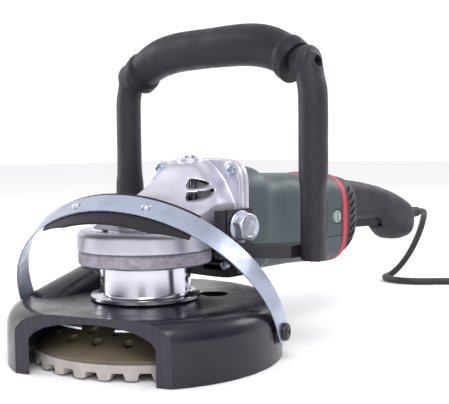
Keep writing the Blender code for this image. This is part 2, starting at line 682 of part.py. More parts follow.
def door(frame):
    """Swinging strap with a rubber flap, raised about its side pivots."""
    hinge = bpy.data.objects.new("door_hinge", None)
    bpy.context.collection.objects.link(hinge)
    hinge.parent = frame
    hinge.location = Vector((0, PIVOT_BACK, PIVOT_Z)) * MM
    hinge.rotation_euler = (-DOOR_RAISE, 0, 0)
    half = STRAP_WIDTH / 2
    loops = []
    reach = PIVOT_BACK + 8
    for (x0, y0), (x1, y1) in zip(strap_path(DOOR_R - STRAP_GAUGE, reach), strap_path(DOOR_R, reach)):
        loops.append([(x0, y0 - PIVOT_BACK, -half), (x1, y1 - PIVOT_BACK, -half),
                      (x1, y1 - PIVOT_BACK, half), (x0, y0 - PIVOT_BACK, half)])
    strap = finish(loop_mesh(loops), "door_strap", zinc(), parent=hinge)
    for side in (-1, 1):
        hole = turned_mesh([(0, 105), (3.4, 105), (3.4, 120), (0, 120)], 8)
        boolean(strap, cutter(hole, f"cut_strap_hole_{side}", (0, 0, 0), (0, side * math.pi / 2, 0), hinge))
    loops = []
    flap_steps = 14
    for i in range(flap_steps + 1):
        a = math.radians(FLAP_FROM + (FLAP_TO - FLAP_FROM) * i / flap_steps)
        loops.append([(r * math.cos(a), r * math.sin(a) - PIVOT_BACK, z)
                      for r, z in ((110.3, -22.4), (112.0, -22.4), (112.0, 13.8), (110.3, 13.8))])
    finish(loop_mesh(loops), "door_flap", black_rubber(), parent=hinge)
    for index, degrees in enumerate((-105.0, -75.0)):
        a = math.radians(degrees)
        rivet = [(0, 0), (3.6, 0), (3.2, 1.2), (0, 1.9)]
        start = DOOR_R + 0.3
        place = (start * math.cos(a), start * math.sin(a) - PIVOT_BACK, 0)
        turned(f"door_rivet_{index + 1}", rivet, 8, zinc(), place, (0, math.pi / 2, a), hinge)
    for side, word in ((-1, "left"), (1, "right")):
        bolt = [(0, 105), (3.0, 105), (3.0, 114.0), (7, 114.0), (7, 116.2), (4.5, 118.2), (0, 118.2)]
        turned(f"pivot_bolt_{word}", bolt, 12, steel_black(), (0, PIVOT_BACK, PIVOT_Z),
               (0, side * math.pi / 2, 0), frame)


# ---- cord ------------------------------------------------------------------

def smooth_route(points, spacing):
    """Catmull-Rom curve through the route, read at about even spacing."""
    knots = [Vector(p) for p in points]
    padded = [2 * knots[0] - knots[1]] + knots + [2 * knots[-1] - knots[-2]]
    dense = []
    for a, b, c, d in zip(padded, padded[1:], padded[2:], padded[3:]):
        for i in range(12):
            t = i / 12
            dense.append(0.5 * (2 * b + (c - a) * t + (2 * a - 5 * b + 4 * c - d) * t * t
                                + (3 * b - a - 3 * c + d) * t ** 3))
    dense.append(knots[-1])
    picked = [dense[0]]
    for point in dense[1:-1]:
        if (point - picked[-1]).length >= spacing:
            picked.append(point)
    if (picked[-1] - dense[-1]).length < spacing / 2:
        picked.pop()
    return picked + [dense[-1]]


def cord():
    boot = [(0, TAIL_Y - 3.5), (4.7, TAIL_Y - 3.5), (4.7, TAIL_Y + 0.4), (6.4, TAIL_Y + 0.4),
            (6.4, TAIL_Y + 11), (5.7, BOOT_END), (0, BOOT_END)]
    turned("cord_boot", boot, 14, black_rubber(), (0, 0, BOOT_Z), ALONG_Y)
    curve = bpy.data.curves.new("cord_run", "CURVE")
    curve.dimensions = "3D"
    curve.bevel_depth = CORD_D / 2 * MM
    curve.bevel_resolution = 2
    curve.use_fill_caps = True
    spline = curve.splines.new("POLY")
    points = [Vector(CORD_ROUTE[0])] + smooth_route(CORD_ROUTE[1:], 2.4 * CORD_D)
    spline.points.add(len(points) - 1)
    for target, point in zip(spline.points, points):
        target.co = (*(point * MM), 1.0)
    curve.materials.append(black_rubber())
    run = bpy.data.objects.new("cord_run", curve)
    bpy.context.collection.objects.link(run)
    run.parent = TOOL
    half = COIL_BAND / 2
    coil = [(COIL_TURNS_R + half, 1), (COIL_TURNS_R + half, 29), (COIL_TURNS_R + half - 1, 30),
            (COIL_TURNS_R - half + 1, 30), (COIL_TURNS_R - half, 29), (COIL_TURNS_R - half, 1),
            (COIL_TURNS_R - half + 1, 0), (COIL_TURNS_R + half - 1, 0)]
    turned("cord_coil", coil, 24, black_rubber(), (*COIL_CENTRE, 0))
    plug = [(0, 0), (5, 0), (6, 14), (14, 24), (18, 30), (18, 42), (17, 44), (0, 44)]
    place = (COIL_CENTRE[0] + COIL_TURNS_R + half + 19, COIL_CENTRE[1] - 24, 18.3)
    body = turned("plug_body", plug, 16, black_rubber(), place, ALONG_Y)
    for side in (-1, 1):
        pin = turned_mesh([(0, 43), (2.4, 43), (2.4, 61), (1.4, 62.5), (0, 62.5)], 8)
        spot = (place[0] + side * 9.5, place[1], place[2])
        boolean(body, cutter(pin, f"add_plug_pin_{side}", spot, ALONG_Y), "UNION")


def fasteners():
    screw = [(0, 0), (4.4, 0), (4.4, 3.0), (3.8, 3.8), (0, 3.8)]
    places = [(-43.5, 57.6, 147), (43.5, 57.6, 147), (-38, 56.1, 68.5), (38, 56.1, 68.5)]
    for index, place in enumerate(places):
        turned(f"flange_screw_{index + 1}", screw, 12, zinc(), place, (math.pi / 2, 0, 0))


def main():
    global TOOL
    clear_scene()
    TOOL = bpy.data.objects.new("tool_frame", None)
    bpy.context.collection.objects.link(TOOL)
    TOOL.location = (0, SPINDLE_Y * MM, 0)
    gear_case()
    lower_air_cover()
    bearing_flange()
    bearings()
    gears()
    spindle()
    wheel_parts()
    motor_housing()
    stator_and_brushes()
    armature()
    handle_shells()
    trigger_lever()
    lock_on_slider()
    lock_button()
    lock_spring()
    bail()
    frame = shroud_frame()
    shroud(frame)
    shroud_collar(frame)
    door(frame)
    cord()
    fasteners()


main()
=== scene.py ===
"""Looks of the two-hand angle grinder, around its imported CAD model.

Lengths are millimetres in the tool frame (spindle axis on Z, tail towards +Y) and
become metres in the model's frame when a mesh is made.
"""
import math

import bmesh
import bpy
from mathutils import Euler, Matrix, Vector


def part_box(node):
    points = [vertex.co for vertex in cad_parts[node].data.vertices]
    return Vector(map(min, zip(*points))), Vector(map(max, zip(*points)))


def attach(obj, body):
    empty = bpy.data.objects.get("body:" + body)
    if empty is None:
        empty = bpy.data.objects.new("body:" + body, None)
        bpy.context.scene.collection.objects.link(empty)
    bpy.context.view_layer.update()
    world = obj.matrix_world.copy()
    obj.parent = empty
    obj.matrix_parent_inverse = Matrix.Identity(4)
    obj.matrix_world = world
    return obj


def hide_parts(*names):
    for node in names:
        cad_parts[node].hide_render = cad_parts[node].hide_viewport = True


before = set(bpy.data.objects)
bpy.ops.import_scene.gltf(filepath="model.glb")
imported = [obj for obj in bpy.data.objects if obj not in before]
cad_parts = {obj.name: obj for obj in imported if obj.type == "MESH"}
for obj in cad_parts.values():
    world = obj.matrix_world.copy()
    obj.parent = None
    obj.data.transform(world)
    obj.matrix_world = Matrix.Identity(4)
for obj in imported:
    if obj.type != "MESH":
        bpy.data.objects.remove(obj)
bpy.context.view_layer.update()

MM = 0.001
SPINDLE_Y = sum(c[1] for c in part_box("spindle")) / 2 / MM
AXIS_Z = 99.0
SHROUD_TURN = math.radians(21.7)
DOOR_RAISE = math.radians(57.0)
SHROUD_R = 110.0
SHROUD_TOP = 46.0
CUT_DISTANCE = 89.5
PIVOT_BACK = 9.0
PIVOT_Z = 23.2
DOOR_R = 113.6
WHEEL_R = 90.0
BAIL_Y = 79.0
LEG_HEAD_Z = 231.0
GRIP_RISE = 19.5
GRIP_R = 17.6
GRIP_REACH = 93.0
BOLT_Y = 51.0
BOLT_Z = 102.0
BRUSH_Y = 200.0
TAIL_Y = 397.0
BOOT_END = 424.0
BOOT_Z = 87.0
CORD_D = 7.5
COIL_CENTRE = (88.0, 535.0)
COIL_TURNS_R = 41.0
PLUG_PLACE = (163.0, 511.0, 18.3)
CAMERA_PLACE = (0.5094, -0.4508, 0.1683)  # in metres, from the spindle's axis
CAMERA_YAW, CAMERA_PITCH, CAMERA_ROLL = 0.757, -0.073, -0.011
CAMERA_LENS = 67.76
PORT_PLACE = (-84.0, -25.0, 25.0)
PORT_TURN = (math.radians(-78.5), 0, math.radians(-6))
PORT_BORE_R = 20.0
ACCESS_HOLE = (45.5, 33.5, 0)
ACCESS_HOLE_R = 12.0
STRAP_GAUGE = 1.4
STRAP_HALF = 9.85
FLAP_FROM, FLAP_TO, FLAP_STEPS = -121, -55, 70
RIVET_ANGLES = (-105.0, -75.0)
RING_FROM, RING_SPAN, RING_STEPS = -80, 340, 144
WHEEL_HOLES = 18
WHEEL_HOLE_R = 4.2
# radius, height and first angle of each row of holes
WHEEL_HOLE_ROWS = [(71.5, 24, -72.5), (60.5, 30, -62.5)]
WHEEL_SEGMENTS, SEGMENT_STEPS = 28, 12
BUTTON_Y = 52
HOUSING_WALL = 3.2
HANDLE_WALL = 3.0
SLATS = 8
GRIP_STEPS = 112
CORD_ROUTE = [
    (0, 424.5, 87), (0, 433, 87), (-1.5, 442, 85), (-6, 450, 79), (-12, 456.5, 69), (-18.5, 460.5, 57),
    (-25.5, 462.5, 44), (-32.5, 462, 31.5), (-39.5, 459.5, 20), (-46, 454.5, 10.5), (-50, 447, 5),
    (-50.5, 437, 3.9), (-45, 428, 3.9), (-35, 422.5, 3.9), (-22, 421, 3.9), (-9, 424.5, 3.9),
    (3, 432, 3.9), (14, 442, 3.9), (26, 452.5, 3.9), (40, 462.5, 3.9), (54, 471, 3.9), (70, 478.5, 3.8),
]
TOOL = Matrix.Translation((0, SPINDLE_Y * MM, 0))
SHROUD = TOOL @ Matrix.Rotation(SHROUD_TURN, 4, "Z")
DOOR = SHROUD @ Matrix.Translation((0, PIVOT_BACK * MM, PIVOT_Z * MM)) @ Matrix.Rotation(-DOOR_RAISE, 4, "X")
ALONG_Y = Euler((-math.pi / 2, 0, 0)).to_matrix().to_4x4()
ALONG_X = Euler((0, math.pi / 2, 0)).to_matrix().to_4x4()


# ---- camera, floor and light -------------------------------------------------

def linked(name, data):
    """A new object in the scene, holding some data."""
    obj = bpy.data.objects.new(name, data)
    bpy.context.collection.objects.link(obj)
    return obj


def camera():
    """The view the object is matched in."""
    data = bpy.data.cameras.new("camera")
    data.sensor_width = 36.0
    data.lens = CAMERA_LENS
    data.shift_x = 0.0102
    data.shift_y = 0.0083
    data.clip_start = 0.01
    obj = linked("camera", data)
    yaw, pitch, roll = CAMERA_YAW, CAMERA_PITCH, CAMERA_ROLL
    across = Vector((math.cos(yaw), math.sin(yaw), 0))
    ahead = Vector((-math.sin(yaw) * math.cos(pitch), math.cos(yaw) * math.cos(pitch), math.sin(pitch)))
    above = across.cross(ahead)
    right = across * math.cos(roll) + above * math.sin(roll)
    up = above * math.cos(roll) - across * math.sin(roll)
    turn = Matrix((right, up, -ahead)).transposed().to_4x4()
    x, y, z = CAMERA_PLACE
    obj.matrix_world = Matrix.Translation((x, y + SPINDLE_Y * MM, z)) @ turn
    bpy.context.scene.camera = obj


def area_light(name, place, target, size, power):
    data = bpy.data.lights.new(name, "AREA")
    data.shape = "RECTANGLE"
    data.size, data.size_y = size
    data.energy = power
    obj = linked(name, data)
    obj.location = place
    obj.rotation_euler = (Vector(target) - Vector(place)).to_track_quat("-Z", "Y").to_euler()


# brightness of the studio walls round the object: position round the circle, level
WALL_LEVELS = [
    (0.04, 0.90), (0.10, 0.50), (0.15, 0.12), (0.20, 0.12), (0.25, 0.55), (0.28, 0.95), (0.325, 1.0),
    (0.34, 0.40), (0.375, 0.40), (0.39, 1.0), (0.44, 1.0), (0.46, 0.45), (0.53, 0.28), (0.58, 0.10),
    (0.62, 0.45), (0.68, 1.0), (0.80, 1.0),
]


FLOOR_HALF = 6.0


def lay_floor():
    """A pale sheet, just under the object so that the two don't share a plane."""
    floor = bpy.data.meshes.new("floor")
    corners = [(x * FLOOR_HALF, y * FLOOR_HALF, 0) for x, y in ((-1, -1), (1, -1), (1, 1), (-1, 1))]
    floor.from_pydata(corners, [], [(0, 1, 2, 3)])
    obj = linked("floor", floor)
    obj.location = (0, 0, -0.0002)
    paint = bpy.data.materials.new("floor_paper")
    paint.use_nodes = True
    shader = paint.node_tree.nodes["Principled BSDF"]
    shader.inputs["Base Color"].default_value = (0.96, 0.96, 0.97, 1)
    shader.inputs["Roughness"].default_value = 0.75
    floor.materials.append(paint)


def mixed(nodes, links, factor, first, second):
    """Mixes a linked colour with a fixed one, and returns the outcome's socket."""
    mix = nodes.new("ShaderNodeMix")
    mix.data_type = "RGBA"
    links.new(factor, mix.inputs[0])
    links.new(first, mix.inputs[6])
    mix.inputs[7].default_value = (*second, 1)
    return mix.outputs[2]


def light_studio():
    """Walls of uneven brightness for the metal to reflect, and three soft lights."""
    world = bpy.data.worlds.new("studio")
    bpy.context.scene.world = world
    bpy.context.scene.view_settings.view_transform = "Standard"
    world.use_nodes = True
    nodes, links = world.node_tree.nodes, world.node_tree.links
    direction = nodes.new("ShaderNodeTexCoord").outputs["Generated"]
    around = nodes.new("ShaderNodeTexGradient")
    around.gradient_type = "RADIAL"
    links.new(direction, around.inputs["Vector"])
    walls = nodes.new("ShaderNodeValToRGB")
    for position, level in WALL_LEVELS:
        stop = walls.color_ramp.elements.new(position)
        stop.color = (level, level, level * 1.02, 1)
    for index in (0, len(walls.color_ramp.elements) - 1):
        walls.color_ramp.elements[index].color = (1, 1, 1, 1)
    links.new(around.outputs["Fac"], walls.inputs["Fac"])
    split = nodes.new("ShaderNodeSeparateXYZ")
    links.new(direction, split.inputs["Vector"])
    height = nodes.new("ShaderNodeMapRange")
    height.inputs["From Min"].default_value = 0.35
    height.inputs["From Max"].default_value = 0.8
    links.new(split.outputs["Z"], height.inputs["Value"])
    room = mixed(nodes, links, height.outputs["Result"], walls.outputs["Color"], (0.9, 0.9, 0.92))
    # the object reflects the walls, while the view behind it stays plain white
    seen = nodes.new("ShaderNodeLightPath").outputs["Is Camera Ray"]
    plain = mixed(nodes, links, seen, room, (1, 1, 1))
    links.new(plain, nodes["Background"].inputs["Color"])
    nodes["Background"].inputs["Strength"].default_value = 1.12
    area_light("key", (0.9, -0.9, 1.5), (0, -0.05, 0.1), (0.9, 0.9), 16)
    area_light("side", (-1.3, -0.7, 0.7), (0, -0.05, 0.12), (0.5, 1.2), 9)
    area_light("rim", (0.5, 1.4, 1.1), (0, 0.05, 0.12), (1.2, 0.6), 10)


# ---- materials ---------------------------------------------------------------

def surface(name, colour, roughness, metallic=0.0, mottle=(40, 0.12), grain=(900, 0.15, 0.0002),
            rough_spread=0.08, specks=None, coat=0.0, stretch=None, specular=0.5):
    """Procedural finish: mottled colour, uneven gloss and a fine grain in the bump."""
    made = bpy.data.materials.new(name)
    made.use_nodes = True
    nodes, links = made.node_tree.nodes, made.node_tree.links
    shader = nodes["Principled BSDF"]
    shader.inputs["Metallic"].default_value = metallic
    shader.inputs["Specular IOR Level"].default_value = specular
    if coat:
        shader.inputs["Coat Weight"].default_value = coat
        shader.inputs["Coat Roughness"].default_value = 0.08
    where = nodes.new("ShaderNodeTexCoord").outputs["Object"]
    if stretch:
        mapping = nodes.new("ShaderNodeMapping")
        mapping.inputs["Scale"].default_value = stretch
        links.new(where, mapping.inputs["Vector"])
        where = mapping.outputs["Vector"]

    def noise(scale, detail=4.0):
        made_noise = nodes.new("ShaderNodeTexNoise")
        made_noise.inputs["Scale"].default_value = scale
        made_noise.inputs["Detail"].default_value = detail
        links.new(where, made_noise.inputs["Vector"])
        return made_noise.outputs["Fac"]

    ramp = nodes.new("ShaderNodeValToRGB")
    scale, amount = mottle
    ramp.color_ramp.elements[0].position = 0.3
    ramp.color_ramp.elements[1].position = 0.7
    ramp.color_ramp.elements[0].color = (*[c * (1 - amount) for c in colour], 1)
    ramp.color_ramp.elements[1].color = (*[min(1, c * (1 + amount)) for c in colour], 1)
    links.new(noise(scale), ramp.inputs["Fac"])
    tone = ramp.outputs["Color"]
    if specks:
        speck_scale, level, speck_colour = specks
        mask = nodes.new("ShaderNodeMapRange")
        mask.inputs["From Min"].default_value = level
        mask.inputs["From Max"].default_value = level + 0.06
        links.new(noise(speck_scale, 2.0), mask.inputs["Value"])
        tone = mixed(nodes, links, mask.outputs["Result"], tone, speck_colour)
    links.new(tone, shader.inputs["Base Color"])
    gloss = nodes.new("ShaderNodeMapRange")
    gloss.inputs["From Min"].default_value = 0.3
    gloss.inputs["From Max"].default_value = 0.7
    gloss.inputs["To Min"].default_value = max(0.02, roughness - rough_spread)
    gloss.inputs["To Max"].default_value = min(1.0, roughness + rough_spread)
    links.new(noise(scale * 2.3), gloss.inputs["Value"])
    links.new(gloss.outputs["Result"], shader.inputs["Roughness"])
    grain_scale, strength, distance = grain
    bump = nodes.new("ShaderNodeBump")
    bump.inputs["Strength"].default_value = strength
    bump.inputs["Distance"].default_value = distance
    links.new(noise(grain_scale, 3.0), bump.inputs["Height"])
    links.new(bump.outputs["Normal"], shader.inputs["Normal"])
    return made


FINISH = {
    "cast_aluminium": surface("cast_aluminium", (0.60, 0.59, 0.68), 0.38, 0.65, (60, 0.05), (1400, 0.10, 0.0002)),
    "rough_casting": surface("rough_casting", (0.42, 0.39, 0.45), 0.55, 0.6, (260, 0.22), (700, 0.7, 0.0008)),
    "machined_aluminium": surface("machined_aluminium", (0.62, 0.62, 0.70), 0.17, 1.0, (30, 0.03),
                                  (350, 0.06, 0.0001), 0.04, stretch=(0.05, 0.05, 6.0)),
    "steel": surface("steel", (0.50, 0.51, 0.54), 0.30, 1.0, (70, 0.10), (1500, 0.12, 0.0001)),
    "bright_steel": surface("bright_steel", (0.86, 0.86, 0.88), 0.35, 0.6, (70, 0.04), (900, 0.08, 0.0001)),
    # painted shade: this near-black stands for the shade inside the gear case's hollow and vents and in the opening
    # above the baffle ring's lip
    "painted_shade_black": surface("painted_shade_black", (0.012, 0.011, 0.014), 0.55, 0.0, (70, 0.15), (900, 0.12, 0.0002)),
    "zinc": surface("zinc", (0.56, 0.60, 0.68), 0.30, 1.0, (55, 0.12), (500, 0.12, 0.0002), 0.09),
    "bolt_zinc": surface("bolt_zinc", (0.62, 0.65, 0.74), 0.36, 0.9, (160, 0.20), (900, 0.30, 0.0003), 0.12),
    "galvanised": surface("galvanised", (0.40, 0.44, 0.55), 0.30, 0.85, (45, 0.14), (400, 0.10, 0.0002), 0.10),
    "black_steel": surface("black_steel", (0.016, 0.014, 0.019), 0.42, 0.0, (60, 0.2), (900, 0.3, 0.0003)),
    "green_plastic": surface("green_plastic", (0.040, 0.064, 0.074), 0.46, 0.0, (35, 0.07), (1700, 0.25, 0.0002)),
    "green_dark": surface("green_dark", (0.022, 0.028, 0.030), 0.48, 0.0, (35, 0.10), (1700, 0.25, 0.0002)),
    "black_plastic": surface("black_plastic", (0.022, 0.018, 0.028), 0.50, 0.0, (35, 0.10), (1500, 0.30, 0.0002),
                             specular=0.32),
    "leg_plastic": surface("leg_plastic", (0.021, 0.016, 0.025), 0.48, 0.0, (40, 0.12), (620, 0.75, 0.0006),
                           0.10, (1500, 0.60, (0.075, 0.062, 0.080)), specular=0.34),
    "grip_rubber": surface("grip_rubber", (0.013, 0.011, 0.018), 0.48, 0.0, (30, 0.14), (1100, 0.20, 0.0002), 0.10,
                           specular=0.26),
    "black_rubber": surface("black_rubber", (0.018, 0.017, 0.021), 0.58, 0.0, (50, 0.15), (900, 0.3, 0.0003)),
    "flap_rubber": surface("flap_rubber", (0.014, 0.012, 0.017), 0.60, 0.0, (40, 0.16), (700, 0.25, 0.0003),
                           specular=0.3),
    "cord_rubber": surface("cord_rubber", (0.020, 0.020, 0.023), 0.46, 0.0, (60, 0.15), (700, 0.25, 0.0002)),
    "red_rubber": surface("red_rubber", (0.50, 0.050, 0.080), 0.46, 0.0, (60, 0.10), (900, 0.2, 0.0002)),
    "urethane": surface("urethane", (0.013, 0.010, 0.019), 0.24, 0.0, (25, 0.16), (240, 0.10, 0.0006), 0.09,
                        specular=0.42),
    "cut_urethane": surface("cut_urethane", (0.034, 0.028, 0.042), 0.60, 0.0, (300, 0.25), (500, 0.5, 0.0006),
                            0.10, stretch=(1, 1, 0.06)),
    "wheel_paint": surface("wheel_paint", (0.145, 0.120, 0.078), 0.50, 0.15, (50, 0.18), (900, 0.25, 0.0003)),
    "segment_metal": surface("segment_metal", (0.44, 0.40, 0.38), 0.62, 0.0, (90, 0.14), (1300, 0.5, 0.0004)),
    "laminations": surface("laminations", (0.20, 0.19, 0.18), 0.5, 0.8, (70, 0.15), (1500, 0.3, 0.0002),
                           stretch=(1, 14, 1)),
    "copper": surface("copper", (0.72, 0.38, 0.22), 0.35, 1.0, (70, 0.15), (900, 0.2, 0.0002)),
    "carbon": surface("carbon", (0.03, 0.03, 0.03), 0.7, 0.0, (90, 0.2), (1500, 0.4, 0.0003)),
    # painted highlight: the brush caps are made light grey to stand for a highlight on them; their own plastic is
    # black
    "cap_plastic": surface("cap_plastic", (0.30, 0.34, 0.34), 0.40, 0.0, (90, 0.10), (900, 0.2, 0.0002)),
}


# ---- mesh tools --------------------------------------------------------------

def make(mesh, name, place=TOOL, sharp=32):
    """Turns a bmesh in millimetres into an object at the model's origin."""
    bmesh.ops.recalc_face_normals(mesh, faces=mesh.faces)
    bmesh.ops.scale(mesh, vec=(MM, MM, MM), verts=mesh.verts)
    data = bpy.data.meshes.new(name)
    mesh.to_mesh(data)
    mesh.free()
    data.transform(place)
    data.shade_smooth()
    data.set_sharp_from_angle(angle=math.radians(sharp))
    return linked(name, data)


def piece(obj, finish, body, *nodes, slot=None):
    """Gives a finished piece its material, its body and the CAD nodes it stands for."""
    obj.data.materials.clear()
    obj.data.materials.append(FINISH[finish])
    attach(obj, body)
    if nodes:
        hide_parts(*nodes)
    return obj


def loops_mesh(loops, closed=False):
    """Skins a row of equal loops of points, with end caps unless it runs back to its start."""
    mesh = bmesh.new()
    rings = [[mesh.verts.new(point) for point in loop] for loop in loops]
    pairs = list(zip(rings, rings[1:]))
    if closed:
        pairs.append((rings[-1], rings[0]))
    for low, high in pairs:
        for i in range(len(low)):
            j = (i + 1) % len(low)
            mesh.faces.new((low[i], low[j], high[j], high[i]))
    if not closed:
        mesh.faces.new(list(reversed(rings[0])))
        mesh.faces.new(rings[-1])
    return mesh


def turned_mesh(profile, sides):
    """Turns a profile of radius and height round Z."""
    mesh = bmesh.new()
    rings = []
    for radius, height in profile:
        if radius < 1e-6:
            rings.append([mesh.verts.new((0, 0, height))])
            continue
        turns = [2 * math.pi * i / sides for i in range(sides)]
        rings.append([mesh.verts.new((radius * math.cos(a), radius * math.sin(a), height)) for a in turns])
    pairs = list(zip(rings, rings[1:]))
    if len(rings[0]) > 1:
        pairs.append((rings[-1], rings[0]))
    for low, high in pairs:
        for i in range(sides):
            j = (i + 1) % sides
            corners = [low[i % len(low)], low[j % len(low)], high[j % len(high)], high[i % len(high)]]
            unique = list(dict.fromkeys(corners))
            if len(unique) > 2:
                mesh.faces.new(unique)
    return mesh


def box_mesh(low, high):
    corners = [(low[0], low[1]), (high[0], low[1]), (high[0], high[1]), (low[0], high[1])]
    return loops_mesh([[(x, y, z) for x, y in corners] for z in (low[2], high[2])])


def prism_x(outline, low, high):
    """Extrudes a (y, z) outline along X."""
    return loops_mesh([[(x, y, z) for y, z in outline] for x in (low, high)])


def rounded(mesh, width, segments=3, angle=28):
    """Rounds the edges of a bmesh that turn by more than an angle."""
    edges = [e for e in mesh.edges if e.is_manifold and e.calc_face_angle(0) > math.radians(angle)]
    bmesh.ops.bevel(mesh, geom=edges, offset=width, segments=segments, profile=0.5, affect="EDGES",
                    clamp_overlap=True)
    return mesh


def oval(y, half_width, low, high, count=72, power=3.2):
    """A superellipse across the tool at y. A higher power is more square."""
    middle, half_height = (low + high) / 2, (high - low) / 2
    points = []
    for i in range(count):
        a = 2 * math.pi * i / count
        c, s = math.cos(a), math.sin(a)
        points.append((half_width * math.copysign(abs(c) ** (2 / power), c), y,
                       middle + half_height * math.copysign(abs(s) ** (2 / power), s)))
    return points


def arc(centre, radius, start, end, steps):
    turns = [math.radians(start + (end - start) * i / steps) for i in range(steps + 1)]
    return [(centre[0] + radius * math.cos(a), centre[1] + radius * math.sin(a)) for a in turns]


def smooth(rows, per):
    """Rows of numbers read off a Catmull-Rom curve, per steps between neighbours."""
    knots = [Vector(row) for row in rows]
    ends = [2 * knots[0] - knots[1]] + knots + [2 * knots[-1] - knots[-2]]
    found = []
    for a, b, c, d in zip(ends, ends[1:], ends[2:], ends[3:]):
        for i in range(per):
            t = i / per
            found.append(tuple(0.5 * (2 * b + (c - a) * t + (2 * a - 5 * b + 4 * c - d) * t * t
                                      + (3 * b - a - 3 * c + d) * t ** 3)))
    return found + [tuple(knots[-1])]


def apply_steps(obj):
    """Bakes an object's modifiers into its mesh."""
    bpy.context.view_layer.update()
    graph = bpy.context.evaluated_depsgraph_get()
    data = bpy.data.meshes.new_from_object(obj.evaluated_get(graph))
    old = obj.data
    obj.modifiers.clear()
    obj.data = data
    bpy.data.meshes.remove(old)
    return obj


def combine(obj, tools, operation="DIFFERENCE", solver="EXACT"):
    """Applies a boolean with each tool in turn, and removes the tools."""
    for tool in tools:
        step = obj.modifiers.new("step", "BOOLEAN")
        step.operation = operation
        step.solver = solver
        step.object = tool
        apply_steps(obj)
        bpy.data.objects.remove(tool, do_unlink=True)
    obj.data.shade_smooth()
    obj.data.set_sharp_from_angle(angle=math.radians(30))
    return obj


def cast(obj, voxel, relax=4, sharp=None):
    """Remeshes a body and relaxes it, which rounds its edges like a casting's."""
    step = obj.modifiers.new("voxels", "REMESH")
    step.mode = "VOXEL"
    step.voxel_size = voxel * MM
    soften = obj.modifiers.new("relax", "SMOOTH")
    soften.factor = 0.5
    soften.iterations = relax
    apply_steps(obj)
    obj.data.shade_smooth()
    if sharp:
        obj.data.set_sharp_from_angle(angle=math.radians(sharp))
    return obj


def turned(name, profile, sides, finish, body, *nodes, place=TOOL, slot=None, sharp=32):
    return piece(make(turned_mesh(profile, sides), name, place, sharp), finish, body, *nodes, slot=slot)


# ---- cord --------------------------------------------------------------------

def coil_line():
    """Twelve turns laid beside and over each other, outer turn first and last."""
    radii = [COIL_TURNS_R + (k - 1.5) * CORD_D for k in range(4)]
    order = [(r, 0) for r in radii[::-1]] + [(r, 1) for r in radii]
    order += [(r, 2) for r in radii[:1:-1]] + [(r, 3) for r in radii[2:]]
    order.append(order[-1])
    steps = 22
    points = []
    for index in range((len(order) - 1) * steps + 1):
        turn, part = divmod(index, steps)
        here, after = order[turn], order[min(turn + 1, len(order) - 1)]
        ease = max(0.0, (part / steps - 0.72) / 0.28)
        ease = ease * ease * (3 - 2 * ease)
        radius = here[0] + (after[0] - here[0]) * ease
        layer = here[1] + (after[1] - here[1]) * ease
        a = -math.pi / 2 + 2 * math.pi * index / steps
        points.append((COIL_CENTRE[0] + radius * math.cos(a), COIL_CENTRE[1] + radius * math.sin(a),
                       CORD_D / 2 + layer * 7.55))
    return points


def mains_cord():
    """The lead in one length: hanging run, flat coil and the rise into the plug."""
    coil = coil_line()
    run = [CORD_ROUTE[0]] + smooth(CORD_ROUTE[1:] + coil[:1], 5)[:-1]
    px, py, pz = PLUG_PLACE
    lead = [coil[-1], (104, 481.6, 26.0), (119, 480.6, 24.4), (133, 481.4, 22.4)]
    lead += [(px - 30 * (1 - math.sin(a)), py - 30 * math.cos(a), pz + 4 * math.cos(a) ** 2)
             for a in (math.radians(d) for d in (22, 45, 68))]
    lead += [(px, py, pz), (px, py + 4, pz)]
    line = run + coil + smooth(lead, 5)[1:]
    curve = bpy.data.curves.new("mains_cord", "CURVE")
    curve.dimensions = "3D"
    curve.bevel_depth = CORD_D / 2 * MM
    curve.bevel_resolution = 4
    curve.use_fill_caps = True
    spline = curve.splines.new("POLY")
    spline.points.add(len(line) - 1)
    for target, point in zip(spline.points, line):
        target.co = (*(TOOL @ (Vector(point) * MM)), 1.0)
    obj = linked("mains_cord", curve)
    curve.materials.append(FINISH["cord_rubber"])
    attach(obj, "root")
    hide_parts("cord_run", "cord_coil")
    boot_rows = [(0, TAIL_Y - 3.5), (4.6, TAIL_Y - 3.5), (4.6, TAIL_Y + 0.2), (6.2, TAIL_Y + 0.4),
                 (6.4, TAIL_Y + 1.2)]
    y = TAIL_Y + 2.5
    while y < BOOT_END - 5:
        outer = 6.4 - 0.7 * (y - TAIL_Y) / (BOOT_END - TAIL_Y)
        boot_rows += [(outer, y), (outer, y + 2.0), (outer - 0.9, y + 2.5), (outer - 0.9, y + 3.6)]
        y += 4.2
    boot_rows += [(5.7, BOOT_END - 4), (5.7, BOOT_END - 1), (5.0, BOOT_END), (0, BOOT_END)]
    place = TOOL @ Matrix.Translation((0, 0, BOOT_Z * MM)) @ ALONG_Y
    boot = turned("cord_sleeve", boot_rows, 40, "cord_rubber", "root", "cord_boot", place=place,
                  slot="black_rubber")
    place = TOOL @ Matrix.Translation(Vector(PLUG_PLACE) * MM) @ ALONG_Y
    rows = [(0, 0), (4.6, 0), (5.2, 1.2), (5.4, 6), (6.2, 12), (9.5, 18), (14.2, 24), (17.2, 28), (18, 31),
            (18, 34), (17.2, 34.6), (17.2, 35.6), (18, 36.2), (18, 42), (17.4, 43.6), (16.4, 44), (0, 44)]
    plug = make(turned_mesh(rows, 64), "mains_plug", place)
    piece(plug, "cord_rubber", "root", "plug_body", slot="black_rubber")
    pins = []
    for side in (-1, 1):
        pin = turned_mesh([(0, 42), (2.4, 42), (2.4, 61), (1.9, 62), (1.2, 62.5), (0, 62.5)], 24)
        pins.append(make(pin, f"plug_pin_{side}", place @ Matrix.Translation((side * 9.5 * MM, 0, 0))))
        piece(pins[-1], "steel", "root")


# ---- dust shroud and door ------------------------------------------------------

